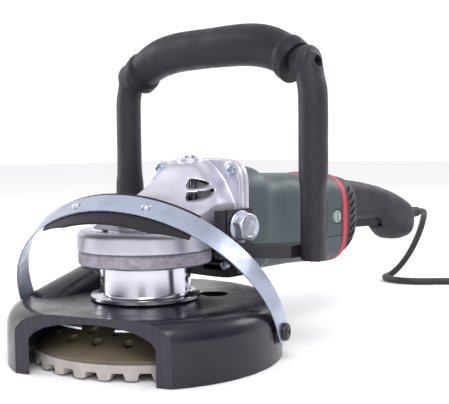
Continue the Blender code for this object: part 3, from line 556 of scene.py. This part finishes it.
def shroud_pieces():
    shoulder = 16.0
    outer = [(SHROUD_R - 0.5, 0), (SHROUD_R, 0.6)]
    outer += arc((SHROUD_R - shoulder, SHROUD_TOP - shoulder), shoulder, 0, 90, 14)
    outer += [(84, SHROUD_TOP - 0.35), (74, SHROUD_TOP - 1.0), (62, SHROUD_TOP - 1.4), (50, SHROUD_TOP - 1.1),
              (40, SHROUD_TOP - 0.3), (34, SHROUD_TOP), (31.5, SHROUD_TOP), (31.5, 0)]
    body = make(turned_mesh(outer, 144), "shroud", SHROUD)
    port_place = SHROUD @ Matrix.Translation([value * MM for value in PORT_PLACE])
    port_place = port_place @ Euler(PORT_TURN).to_matrix().to_4x4()
    port_rows = [(0, -14), (14, -14), (19.6, -6.5), (22.6, -2), (24, 4), (24, 62), (23.2, 63), (23.2, 65),
                 (24, 66), (24, 76.4), (23.6, 77.5), (22.6, 78), (0, 78)]
    combine(body, [make(turned_mesh(port_rows, 72), "tool", port_place)], "UNION")
    sides = []
    for side in (-1, 1):
        at = SHROUD @ Matrix.Translation((0, PIVOT_BACK * MM, PIVOT_Z * MM))
        sides.append(at @ Matrix.Rotation(side * math.pi / 2, 4, "Y"))
        lug = turned_mesh([(0, 100), (10.5, 100), (9.6, 109), (9, 111.2), (8.4, 111.7), (0, 111.7)], 40)
        combine(body, [make(lug, "tool", sides[-1])], "UNION")
    hole = [(0, 104.6), (3.4, 104.6), (3.4, 120), (0, 120)]
    holes = [make(turned_mesh(hole, 24), "tool", at) for at in sides]
    inner_r = SHROUD_R - 6.5
    space = [(0, -1), (inner_r, -1), (inner_r, 27), (inner_r - 2, 31.5), (inner_r - 6, 36), (inner_r - 12, 40),
             (inner_r - 18, 41.8), (0, 41.8)]
    tools = holes + [
        make(turned_mesh([(0, 0), (PORT_BORE_R, 0), (PORT_BORE_R, 120), (0, 120)], 56), "tool", port_place),
        make(turned_mesh(space, 112), "tool", SHROUD),
        make(box_mesh((-200, -200, -60), (200, 200, 0.0)), "tool", SHROUD),
        make(turned_mesh([(0, 30), (ACCESS_HOLE_R, 30), (ACCESS_HOLE_R, 60), (0, 60)], 48), "tool",
             SHROUD @ Matrix.Translation([value * MM for value in ACCESS_HOLE])),
        make(box_mesh((-150, -200, -10), (150, -CUT_DISTANCE, 80)), "tool", SHROUD),
    ]
    combine(body, tools)
    piece(body, "urethane", "shroud", "shroud_body")
    body.data.materials.append(FINISH["cut_urethane"])
    facing = SHROUD.to_3x3() @ Vector((0, -1, 0))
    level = (TOOL.translation + facing * CUT_DISTANCE * MM).dot(facing)
    for face in body.data.polygons:
        if face.normal.dot(facing) > 0.999 and abs(face.center.dot(facing) - level) < 0.0005:
            face.material_index = 1
    body.data.set_sharp_from_angle(angle=math.radians(30))


def collar_pieces():
    rows = [(31.2, 46.4), (43.9, 46.4), (44.3, 46.8), (44.3, 48.9), (43.9, 49.3), (39, 49.5), (37.6, 50.1),
            (36.8, 51.2), (36.5, 52.4), (36.5, 71.6), (36.1, 72.0), (36.1, 72.6), (36.5, 73.0), (36.5, 73.8),
            (36.1, 74.2), (31.2, 74.2)]
    collar = make(turned_mesh(rows, 144), "collar", SHROUD)
    for index, degrees in enumerate((0, 132.0, -132.0)):
        turn = SHROUD @ Matrix.Translation((0, 0, 62 * MM)) @ Matrix.Rotation(math.radians(degrees), 4, "Z")
        turn = turn @ Matrix.Rotation(math.pi / 2, 4, "Y")
        combine(collar, [make(turned_mesh([(0, 28), (2.8, 28), (2.8, 35.9), (3.4, 36.6), (3.4, 42), (0, 42)], 28),
                              "tool", turn)])
        rows = [(0, 31.4), (2.5, 31.4), (2.5, 36.0), (2.3, 36.2), (1.3, 36.2), (1.3, 34.4), (0, 34.4)]
        turned(f"set_screw_{index + 1}", rows, 24, "black_steel", "shroud", f"collar_screw_{index + 1}", place=turn)
    piece(collar, "machined_aluminium", "shroud", "shroud_collar")
    loops = []
    for i in range(RING_STEPS + 1):
        a = math.radians(RING_FROM + RING_SPAN * i / RING_STEPS)
        loops.append([(r * math.cos(a), r * math.sin(a), z) for r, z in
                      ((76, 34.0), (76.3, 33.8), (78.7, 33.8), (79, 34.0), (79, 35.4), (78.3, 35.5), (78.3, 41.5),
                       (76, 41.5))])
    ring = piece(make(loops_mesh(loops), "baffle_ring", SHROUD), "bright_steel", "shroud", "retaining_ring",
                 slot="zinc")
    # painted shade: the ring's upper band takes the near-black, standing for the shade in the opening above its
    # bright lip
    ring.data.materials.append(FINISH["painted_shade_black"])
    for face in ring.data.polygons:
        if face.center.z > 35.45 * MM:
            face.material_index = 1


def strap_plan(radius):
    """The strap from above: two straight arms and half a circle."""
    ends = [PIVOT_BACK + 8, PIVOT_BACK + 6.4, PIVOT_BACK + 3, PIVOT_BACK - 3]
    points = [(radius, y) for y in ends]
    points += arc((0, 0), radius, 0, -180, 120)
    return points + [(-radius, y) for y in reversed(ends)]


def door_pieces():
    section = [(0, 0.35), (0.3, 0), (1.1, 0), (STRAP_GAUGE, 0.35), (STRAP_GAUGE, 2 * STRAP_HALF - 0.35),
               (1.1, 2 * STRAP_HALF), (0.3, 2 * STRAP_HALF), (0, 2 * STRAP_HALF - 0.35)]
    plans = {offset: strap_plan(DOOR_R - STRAP_GAUGE + offset) for offset in (0, 0.3, 1.1, STRAP_GAUGE)}
    count = len(plans[0])
    loops = []
    for i in range(count):
        end = min(i, count - 1 - i)
        cut = (4.5, 1.2, 0.0)[end] if end < 3 else 0.0
        loop = []
        for offset, up in section:
            x, y = plans[offset][i]
            z = up - STRAP_HALF
            z = math.copysign(max(0.1, abs(z) - cut), z)
            loop.append((x, y - PIVOT_BACK, z))
        loops.append(loop)
    strap = make(loops_mesh(loops), "door_band", DOOR)
    for side in (-1, 1):
        at = DOOR @ Matrix.Rotation(side * math.pi / 2, 4, "Y")
        combine(strap, [make(turned_mesh([(0, 105), (3.4, 105), (3.4, 120), (0, 120)], 24), "tool", at)])
    piece(strap, "galvanised", "door", "door_strap", slot="zinc")
    loops = []
    for i in range(FLAP_STEPS + 1):
        a = math.radians(FLAP_FROM + (FLAP_TO - FLAP_FROM) * i / FLAP_STEPS)
        # the lower edge rises towards both ends
        low = -22.4 + 9.5 * max(0.0, 1 - min(i, FLAP_STEPS - i) / 16)
        loops.append([(r * math.cos(a), r * math.sin(a) - PIVOT_BACK, z) for r, z in
                      ((110.3, low + 0.3), (110.6, low), (111.7, low), (112.0, low + 0.3), (112.0, 13.5),
                       (111.7, 13.8), (110.6, 13.8), (110.3, 13.5))])
    piece(make(loops_mesh(loops), "door_skirt", DOOR), "flap_rubber", "door", "door_flap", slot="black_rubber")
    for index, degrees in enumerate(RIVET_ANGLES):
        a = math.radians(degrees)
        start = (DOOR_R + 0.3) * MM
        at = DOOR @ Matrix.Translation((start * math.cos(a), start * math.sin(a) - PIVOT_BACK * MM, 0))
        at = at @ Matrix.Rotation(a, 4, "Z") @ Matrix.Rotation(math.pi / 2, 4, "Y")
        rows = [(0, -0.3), (3.6, -0.3), (3.6, 0.2), (3.3, 0.8), (2.6, 1.4), (1.4, 1.8), (0, 1.9)]
        turned(f"strap_rivet_{index + 1}", rows, 28, "zinc", "door", f"door_rivet_{index + 1}", place=at)
    for side, word in ((-1, "left"), (1, "right")):
        at = SHROUD @ Matrix.Translation((0, PIVOT_BACK * MM, PIVOT_Z * MM))
        at = at @ Matrix.Rotation(side * math.pi / 2, 4, "Y")
        rows = [(0, 105), (3.0, 105), (3.0, 114.0), (6.6, 114.0), (7, 114.4), (7, 116.0), (6.4, 117.1),
                (5.2, 117.9), (3.6, 118.2), (2.2, 118.2), (2.2, 116.4), (0, 116.4)]
        turned(f"door_bolt_{word}", rows, 40, "black_steel", "shroud", f"pivot_bolt_{word}", place=at)


# ---- wheel ---------------------------------------------------------------------

def wheel_pieces():
    rows = [(11.3, 34), (40, 34), (44, 33.2), (77, 16.2), (79, 14.6), (79, 12.8), (89, 12.8), (89, 14.6),
            (88.2, 15.5), (82.5, 18.2), (81, 19), (46, 36.6), (42, 38), (11.3, 38)]
    cup = make(turned_mesh(rows, 128), "cup", TOOL)
    tools = []
    drill = [(0, -12), (WHEEL_HOLE_R, -12), (WHEEL_HOLE_R, 12), (0, 12)]
    for radius, height, first in WHEEL_HOLE_ROWS:
        for i in range(WHEEL_HOLES):
            a = math.radians(first) + 2 * math.pi * i / WHEEL_HOLES
            spot = (radius * MM * math.cos(a), radius * MM * math.sin(a), height * MM)
            tools.append(make(turned_mesh(drill, 28), "tool", TOOL @ Matrix.Translation(spot)))
    combine(cup, tools)
    piece(cup, "wheel_paint", "spindle", "cup_wheel")
    loops = []
    segments, steps = WHEEL_SEGMENTS, SEGMENT_STEPS
    for i in range(segments * steps):
        spot = i % steps
        a = 2 * math.pi * (i // steps) / segments + 2 * math.pi / segments / steps * spot
        deep = spot <= 5
        edge = spot in (0, 5)
        low = 1.2 + (0.5 if edge else 0.0) if deep else 6.5
        loops.append([(r * math.cos(a), r * math.sin(a), z) for r, z in
                      ((74, low + 0.4), (74.4, low), (WHEEL_R - 0.4, low), (WHEEL_R, low + 0.4), (WHEEL_R, 12.2),
                       (WHEEL_R - 0.3, 12.5), (74, 12.5))])
    piece(make(loops_mesh(loops, closed=True), "segments", TOOL), "segment_metal", "spindle", "wheel_segments")


# ---- gear case -----------------------------------------------------------------

# gear case sections: y, half width, low, high, share of the width left at the top
CASE_ROWS = [
    (-40, 17, 97, 108, 0.9), (-30, 29, 97, 115, 0.85), (-12, 38, 97, 121, 0.78), (8, 43, 95, 127, 0.68),
    (22, 44, 92, 136, 0.6), (36, 44.5, 89, 149.5, 0.58), (44, 45, 87, 153.5, 0.58),
    (54, 45.5, 86.5, 154, 0.6), (60, 46, 81, 154, 0.65),
]


def leaning(row, count=72):
    """A rounded section whose sides lean in towards its top."""
    y, half_width, low, high, share = row
    middle = (low + high) / 2
    return [(x * (1 - (1 - share) * max(0.0, (z - middle) / (high - middle))), y, z)
            for x, y, z in oval(y, half_width, low, high, count)]


# the two halves of the air vent in each flank: pairs of y and z
CASE_VENTS = [
    [(23.5, 132.2), (32, 132.6), (37.5, 133.8), (42, 135.8), (38.5, 138.0), (34.5, 139.4), (30.5, 140.2)],
    [(15.5, 122.6), (27, 123.4), (37.0, 126.2), (42, 129.8), (43.6, 133.2), (38, 131.4), (32, 130.2),
     (21.5, 129.8)],
]


def gear_case_pieces():
    parts = [make(turned_mesh([(0, 85.3), (53.6, 85.3), (54.2, 85.9), (54.2, 98.0), (53.2, 99.6), (51, 101.5),
                               (0, 101.5)], 120), "gear_casting")]
    body_rows = smooth(CASE_ROWS, 4)
    parts.append(make(loops_mesh([leaning(row) for row in body_rows]), "part"))
    flange = [(58, 50.4), (58.6, 51), (62.4, 51), (63.0, 50.2), (64.2, 50.2), (64.8, 51), (69.4, 51), (70, 50.5)]
    parts.append(make(loops_mesh([oval(y, r, 80.2 + 51 - r, 156.5 - 51 + r, power=5) for y, r in flange]), "part"))
    boss = [(0, 140), (12.5, 140), (11, 152), (11, 156.2), (10.4, 156.9), (9.6, 157.2), (0, 157.2)]
    button_place = TOOL @ Matrix.Translation((0, BUTTON_Y * MM, 0))
    parts.append(make(turned_mesh(boss, 56), "part", button_place))
    for side in (-1, 1):
        boss = turned_mesh([(0, 57.3), (7.6, 57.3), (8.2, 58.6), (0, 58.6)], 40)
        parts.append(make(boss, "part", TOOL @ Matrix.Translation((side * 42.5 * MM, 0, 146.6 * MM)) @ ALONG_Y))
    case = parts[0]
    for extra in parts[1:]:
        combine(case, [extra], "UNION", "MANIFOLD")
    well = make(turned_mesh([(0, 80), (41, 80), (41, 102), (0, 102)], 64), "tool")
    hollow_rows = [(12, 13, 98, 112, 0.8), (26, 36, 94, 131, 0.62), (38, 40, 91, 144, 0.6),
                   (54, 41, 89, 149, 0.6)]
    hollow = make(loops_mesh([leaning(row, 32) for row in hollow_rows]), "tool")
    pocket = make(turned_mesh([(0, 100), (11.3, 100), (11.3, 118), (0, 118)], 32), "tool")
    seat = make(turned_mesh([(0, 48), (13.3, 48), (13.3, 74), (0, 74)], 32), "tool",
                TOOL @ Matrix.Translation((0, 0, AXIS_Z * MM)) @ ALONG_Y)
    stem = make(turned_mesh([(0, 108), (3.8, 108), (3.8, 150), (7.4, 150), (7.4, 160), (0, 160)], 32), "tool",
                button_place)
    tools = [well, hollow, pocket, seat, stem]
    for outline in CASE_VENTS:
        tools.append(make(prism_x(outline, -70, 70), "tool"))
    combine(case, tools, solver="MANIFOLD")
    cast(case, 0.85, 5, 60)
    piece(case, "cast_aluminium", "root", "gear_case")
    # painted shade: the hollow's walls and the edges of the vents get a near-black material that stands for the
    # shade in these recesses, not a finish of their own
    case.data.materials.append(FINISH["painted_shade_black"])
    to_tool = TOOL.inverted()
    for face in case.data.polygons:
        x, y, z = to_tool @ face.center / MM
        facing = face.normal.dot(Vector((x, 0, z - AXIS_Z)).normalized())
        in_vent = y < 46 and 121.5 < z < 141 and facing < 0.45
        if 12 < y < 66 and z > 88 and (facing < -0.3 or in_vent):
            face.material_index = 1
    rows = [(30.5, 50.5), (30.5, 73.6), (31.5, 74.6), (52.4, 74.6), (53.5, 75.7), (53.5, 83.6), (52.6, 85.0),
            (17.8, 85.0), (17.8, 61.5), (13, 61.5), (13, 50.5)]
    turned("rough_flange", rows, 120, "rough_casting", "root", "bearing_flange", slot="cast_aluminium")


def cover_and_screws():
    rows = [(56.5, 48.2), (57.3, 49), (61.5, 49), (62.0, 48.4), (63.0, 48.4), (63.5, 49), (69.4, 49), (70, 48.6)]
    cover = make(loops_mesh([oval(y, r, 57 + 49 - r, 79.8 - 49 + r, power=4.5) for y, r in rows]), "air_cover")
    tools = []
    for x in (-22, 22):
        tools.append(make(box_mesh((x - 12, 50, 63), (x + 12, 80, 67.3)), "tool"))
        tools.append(make(box_mesh((x - 12, 50, 69.6), (x + 12, 80, 74)), "tool"))
    combine(cover, tools)
    piece(cover, "green_dark", "root", "lower_air_cover", slot="green_plastic")
    places = [(-43.5, 57.6, 147), (43.5, 57.6, 147), (-38, 56.1, 68.5), (38, 56.1, 68.5)]
    for index, place in enumerate(places):
        head = turned_mesh([(0, 0), (4.4, 0), (4.4, 2.6), (4.0, 3.4), (3.2, 3.8), (0, 3.8)], 32)
        at = TOOL @ Matrix.Translation(Vector(place) * MM) @ Matrix.Rotation(math.pi / 2, 4, "X")
        obj = make(head, f"case_screw_{index + 1}", at)
        star = []
        for i in range(12):
            a = 2 * math.pi * i / 12
            r = 2.2 if i % 2 == 0 else 1.45
            star.append((r * math.cos(a), r * math.sin(a)))
        hole = loops_mesh([[(x, y, z) for x, y in star] for z in (2.2, 6)])
        combine(obj, [make(hole, "tool", at)])
        piece(obj, "zinc", "root", f"flange_screw_{index + 1}")


# ---- motor housing and rear handle --------------------------------------------

# sections from here on: y, half width, low, high
HOUSING_ROWS = [
    (70.3, 49.4, 56.6, 149.9), (70.9, 50, 56, 150.5), (90, 50, 56.4, 149.9), (95, 50, 56.5, 149.5),
    (97, 49.6, 56.7, 148.4), (99, 48.5, 57, 146), (101, 47.5, 57.2, 143.8), (104, 46.5, 57.5, 142),
    (112, 46.2, 57.6, 141.8), (150, 45.5, 57.5, 141), (195, 46, 55.5, 139.5), (207.9, 46, 54.5, 138.5),
    (208.7, 45.4, 55.1, 137.9),
]


def inset(row, wall):
    """The section one wall inside another."""
    y, half_width, low, high = row
    return (y, half_width - wall, low + wall, high - wall)


def brush_place(side):
    """The place of a brush cap, with Z pointing outwards."""
    middle = Matrix.Translation((0, BRUSH_Y * MM, AXIS_Z * MM))
    return TOOL @ middle @ Matrix.Rotation(side * math.pi / 2, 4, "Y")


def housing_pieces():
    outer = [oval(*row, power=4, count=96) for row in HOUSING_ROWS]
    inner = [oval(*inset(row, HOUSING_WALL), power=4, count=96) for row in reversed(HOUSING_ROWS)]
    housing = make(loops_mesh(outer + inner, closed=True), "motor_shell")
    tools = []
    for side in (-1, 1):
        at = brush_place(side)
        tools.append(make(turned_mesh([(0, 38), (6.4, 38), (6.4, 44.4), (7.6, 45.2), (7.6, 52), (0, 52)], 48),
                          "tool", at))
        near, far = sorted((side * 44.7, side * 60.0))
        tools.append(make(box_mesh((near, 105.0, 80.4), (far, 209, 81.4)), "tool"))
        tools.append(make(box_mesh((near, 183.4, 81.0), (far, 184.2, 122)), "tool"))
        tools.append(make(box_mesh((near, 184.0, 121.2), (far, 209, 122)), "tool"))
    combine(housing, tools)
    piece(housing, "green_plastic", "root", "motor_housing")
    for side, word in ((-1, "left"), (1, "right")):
        at = brush_place(side)
        cap_rows = [(0, 36), (6, 36), (6, 46.0), (5.6, 46.7), (5, 47), (0, 47)]
        cap = make(turned_mesh(cap_rows, 40), f"cap_{word}", at)
        combine(cap, [make(box_mesh((-4.2, -0.8, 45.4), (4.2, 0.8, 50)), "tool", at)])
        # painted highlight: the light grey of the cap stands for a highlight; the cap's own plastic is black
        piece(cap, "cap_plastic", "root", f"brush_cap_{word}", slot="black_plastic")
    band = [(209.0, 46.6), (209.5, 47.2), (211.6, 47.2), (212.0, 46.8), (212.6, 46.8), (213.0, 47.2),
            (214.6, 47.2), (215.1, 46.6)]
    loops = [oval(y, r, 52.5 + 47.2 - r, 140 - 47.2 + r, power=3.4, count=96) for y, r in band]
    inside = [oval(y, 42.2, 57.5, 135, power=3.4, count=96) for y in (215.1, 209.0)]
    piece(make(loops_mesh(loops + inside, closed=True), "red_band"), "red_rubber", "root", "damper_ring")


HANDLE_ROWS = [
    (215.4, 45.5, 54, 138), (223, 44.9, 55.2, 137.6), (230, 44, 57, 137), (237, 41.6, 60.4, 136.1),
    (243, 38, 65, 135), (252, 27, 77, 133), (257, 21.6, 82, 132.2), (261, 18.5, 84, 131.5),
    (275, 16.8, 86, 129.8), (300, 16.5, 86, 126.5), (318, 16.5, 86, 123.2), (328, 16.5, 86, 121.5),
    (334, 16.8, 79.5, 120), (340, 17, 73, 118.5), (347, 17, 66.4, 116.8), (354, 17, 62, 115),
    (364, 16.8, 60.4, 111.8), (374, 16.5, 60, 108), (383, 15.9, 60.8, 104.4), (390, 15, 62, 101),
    (394.5, 13.8, 65.2, 97.4), (TAIL_Y, 12, 70, 93),
]


def handle_pieces():
    rows = smooth(HANDLE_ROWS, 3)
    hollow_rows = [(214, 42.5, 57, 135)] + [inset(row, HANDLE_WALL) for row in HANDLE_ROWS[1:-3]]
    for side, word in ((-1, "left"), (1, "right")):
        shell = make(loops_mesh([oval(*row, power=3, count=72) for row in rows]), f"handle_{word}")
        tools = [
            make(loops_mesh([oval(*row, power=3, count=40) for row in hollow_rows]), "tool"),
            make(box_mesh((-9, 257, 60), (9, 339, 97)), "tool"),
            make(turned_mesh([(0, 370), (5.2, 370), (5.2, 415), (0, 415)], 32), "tool",
                 TOOL @ Matrix.Translation((0, 0, BOOT_Z * MM)) @ ALONG_Y),
        ]
        for k in range(SLATS):
            z = 74 + 7.2 * k
            lean = Matrix.Translation((side * 44 * MM, 229 * MM, z * MM)) @ Matrix.Rotation(0.5, 4, "X")
            tools.append(make(box_mesh((-8.4, -6.4, -1.15), (8.4, 6.4, 1.15)), "tool", TOOL @ lean))
        near, far = sorted((side * 0.15, side * -80.0))
        tools.append(make(box_mesh((near, 200, 40), (far, 420, 160)), "tool"))
        combine(shell, tools)
        piece(shell, "black_plastic", "root", f"handle_shell_{word}")
    outline = [(-72, -6.4), (-71, -8.2), (-69, -9), (-52, -9.6), (-32, -10.4), (-10, -11), (-2, -10.4), (2, -9),
               (4.2, -6), (5, -3), (4.6, 1), (4, 3), (-4, 4), (-32, 3.6), (-60, 3), (-68, 2.2), (-70, 1.5)]
    lever = prism_x(outline, -8, 8)
    rounded(lever, 1.1, 3, 50)
    piece(make(lever, "paddle", TOOL @ Matrix.Translation((0, 332 * MM, 90 * MM))), "black_plastic", "trigger",
          "trigger_lever")
    at = TOOL @ Matrix.Translation((0, 228 * MM, 138.6 * MM))
    slider = loops_mesh([[(x, y, z) for x, y in ((-6, -7), (6, -7), (6, 7), (-6, 7))] for z in (0, 2.0)])
    parts = make(slider, "thumb_slide", at)
    for k in range(4):
        y = -5.4 + 3.4 * k
        bar = loops_mesh([[(-5.4, y, 1.8), (5.4, y, 1.8), (5.4, y + 1.7, 1.8), (-5.4, y + 1.7, 1.8)],
                          [(-5.2, y + 0.3, 3.6), (5.2, y + 0.3, 3.6), (5.2, y + 1.2, 3.6), (-5.2, y + 1.2, 3.6)]])
        combine(parts, [make(bar, "tool", at)], "UNION")
    piece(parts, "black_plastic", "slider", "lock_on_slider")
    rows = [(0, 110), (2, 110), (2, 155.8), (5.9, 155.8), (6.2, 156.1), (6.2, 158.2), (5.9, 158.7), (5.4, 159.0),
            (3.4, 158.8), (0, 158.7)]
    turned("push_button", rows, 40, "machined_aluminium", "lock_button", "lock_button",
           place=TOOL @ Matrix.Translation((0, BUTTON_Y * MM, 0)), slot="cast_aluminium")


# ---- bail handle ---------------------------------------------------------------

def leg_loop(z, centre, along, across, corner, count=56):
    """Leg section on its diagonals. A corner over 1 makes it a soft diamond."""
    points = []
    for k in range(count):
        a = 2 * math.pi * k / count
        c, s = math.cos(a), math.sin(a)
        p = along * math.copysign(abs(c) ** corner, c) / math.sqrt(2)
        q = across * math.copysign(abs(s) ** corner, s) / math.sqrt(2)
        points.append((centre + p + q, BAIL_Y - p + q, z))
    return points


LEG_ROWS = [
    (77, 109.5, 12.6, 9.6, 1.15), (77.8, 109.5, 13.2, 10.2, 1.15), (104, 109.5, 13.2, 10.2, 1.15),
    (128, 109.5, 13.2, 10.2, 1.15), (136, 109.5, 12.6, 10.8, 1.08), (146, 109.5, 11.8, 11.5, 1.0),
    (172, 109.5, 11.6, 11.6, 1.0), (198, 109.5, 11.6, 11.6, 1.0), (211, 108.8, 11.6, 11.6, 1.0),
    (222, 106, 11.6, 11.6, 1.0), (232, 104.8, 11, 11, 1.0), (238, 104.0, 9, 9, 1.0),
]


def mirrored(obj):
    """Mirrors a right-hand piece to the left."""
    flip = TOOL @ Matrix.Diagonal((-1, 1, 1, 1)) @ TOOL.inverted()
    obj.data.transform(flip)
    obj.data.flip_normals()
    return obj


def bail_pieces():
    for side, word in ((-1, "left"), (1, "right")):
        mirror = mirrored if side < 0 else (lambda obj: obj)
        leg = make(loops_mesh([leg_loop(*row) for row in smooth(LEG_ROWS, 3)]), f"bail_post_{word}")
        head = TOOL @ Matrix.Translation((0, BAIL_Y * MM, LEG_HEAD_Z * MM)) @ ALONG_X
        knob = [(0, 94.5), (12.8, 94.5), (13.5, 96.5), (13.5, 105.5), (12.9, 108.6), (11.4, 110.4), (9, 111),
                (0, 111)]
        combine(leg, [make(turned_mesh(knob, 56), "tool", head)], "UNION", "MANIFOLD")
        hole = turned_mesh([(0, 104), (3.4, 104), (4.4, 111), (4.4, 124), (0, 124)], 28)
        combine(leg, [make(hole, "tool", head)], solver="MANIFOLD")
        cast(leg, 0.8, 5, 55)
        piece(mirror(leg), "leg_plastic", "root", f"bail_leg_{word}", slot="black_plastic")
        screw_rows = [(0, 103), (3.0, 103), (3.0, 107.6), (2.6, 108), (1.2, 108), (1.2, 106), (0, 106)]
        screw = make(turned_mesh(screw_rows, 24), f"post_screw_{word}", head)
        piece(mirror(screw), "steel", "root")
        plate = box_mesh((52, 27, 78), (57.5, 66, 116))
        bracket = make(rounded(plate, 1.2, 3, 40), f"bail_plate_{word}")
        outline = [(52.2, 38), (57, 30), (97.5, 66), (97.5, 90), (86, 90)]
        arm = rounded(loops_mesh([[(x, y, z) for x, y in outline] for z in (78.2, 88)]), 0.9, 2, 40)
        combine(bracket, [make(arm, "tool")], "UNION")
        groove = [(56.2, 27.4), (60.2, 24.4), (100.5, 62.4), (97.4, 66.6)]
        lane = loops_mesh([[(x, y, z) for x, y in groove] for z in (82.2, 84.2)])
        combine(bracket, [make(lane, "tool")])
        bolt_at = TOOL @ Matrix.Translation((0, BOLT_Y * MM, BOLT_Z * MM)) @ ALONG_X
        combine(bracket, [
            make(turned_mesh([(0, 45), (7.4, 45), (7.4, 64), (0, 64)], 32), "tool", bolt_at),
            make(box_mesh((56.3, 33.5, 70), (60, 35.5, 120)), "tool"),
        ])
        piece(mirror(bracket), "black_steel", "root", f"bail_bracket_{word}")
        rows = [(0, 51.5), (7.0, 51.5), (7.0, 57.8), (12.6, 57.8), (13.0, 58.2), (13.0, 59.0), (12.4, 59.7),
                (11.4, 60.0), (0, 60.0)]
        bolt = make(turned_mesh(rows, 64), f"bail_screw_{word}", bolt_at)
        hexagon = make(turned_mesh([(0, 59.5), (12.24, 59.5), (12.24, 68.6), (0, 68.6)], 6), "tool",
                       bolt_at @ Matrix.Rotation(math.radians(12), 4, "Z"))
        chamfer = turned_mesh([(0, 59.0), (12.4, 59.0), (12.4, 66.4), (10.4, 68.4), (9.6, 68.6), (7.6, 68.6),
                               (6.9, 68.0), (0, 68.0)], 64)
        combine(hexagon, [make(chamfer, "tool", bolt_at)], "INTERSECT")
        combine(bolt, [hexagon], "UNION")
        piece(mirror(bolt), "bolt_zinc", "root", f"bail_bolt_{word}", slot="zinc")
    loops = []
    for i in range(GRIP_STEPS + 1):
        share = -1 + 2 * i / GRIP_STEPS
        edge = abs(share)
        z = LEG_HEAD_Z + GRIP_RISE * (1 - edge ** 4)
        lip = max(0.0, min(1.0, (edge - 0.895) / 0.02)) * (1.0 if edge < 0.985 else 0.9)
        swell = GRIP_R - 0.6 * (1 - min(1.0, edge * 1.6)) + 2.4 * lip
        slope = math.atan2(-4 * GRIP_RISE * edge ** 3 * math.copysign(1, share), GRIP_REACH)
        loop = []
        for k in range(56):
            a = 2 * math.pi * k / 56
            up = swell * math.sin(a)
            loop.append((GRIP_REACH * share - up * math.sin(slope) * 0.62, BAIL_Y + swell * 0.92 * math.cos(a),
                         z + up * math.cos(slope)))
        loops.append(loop)
    piece(make(loops_mesh(loops), "grip_sleeve", sharp=50), "grip_rubber", "root", "bail_grip", slot="black_rubber")


# ---- pieces kept from the CAD model -----------------------------------------

def dress_kept_nodes():
    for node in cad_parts.values():
        for index, old in enumerate(node.data.materials):
            key = old.name.split(".")[0]
            node.data.materials[index] = FINISH.get(key, FINISH["steel"])


camera()
mains_cord()
lay_floor()
light_studio()
shroud_pieces()
collar_pieces()
door_pieces()
wheel_pieces()
gear_case_pieces()
cover_and_screws()
housing_pieces()
handle_pieces()
bail_pieces()
dress_kept_nodes()
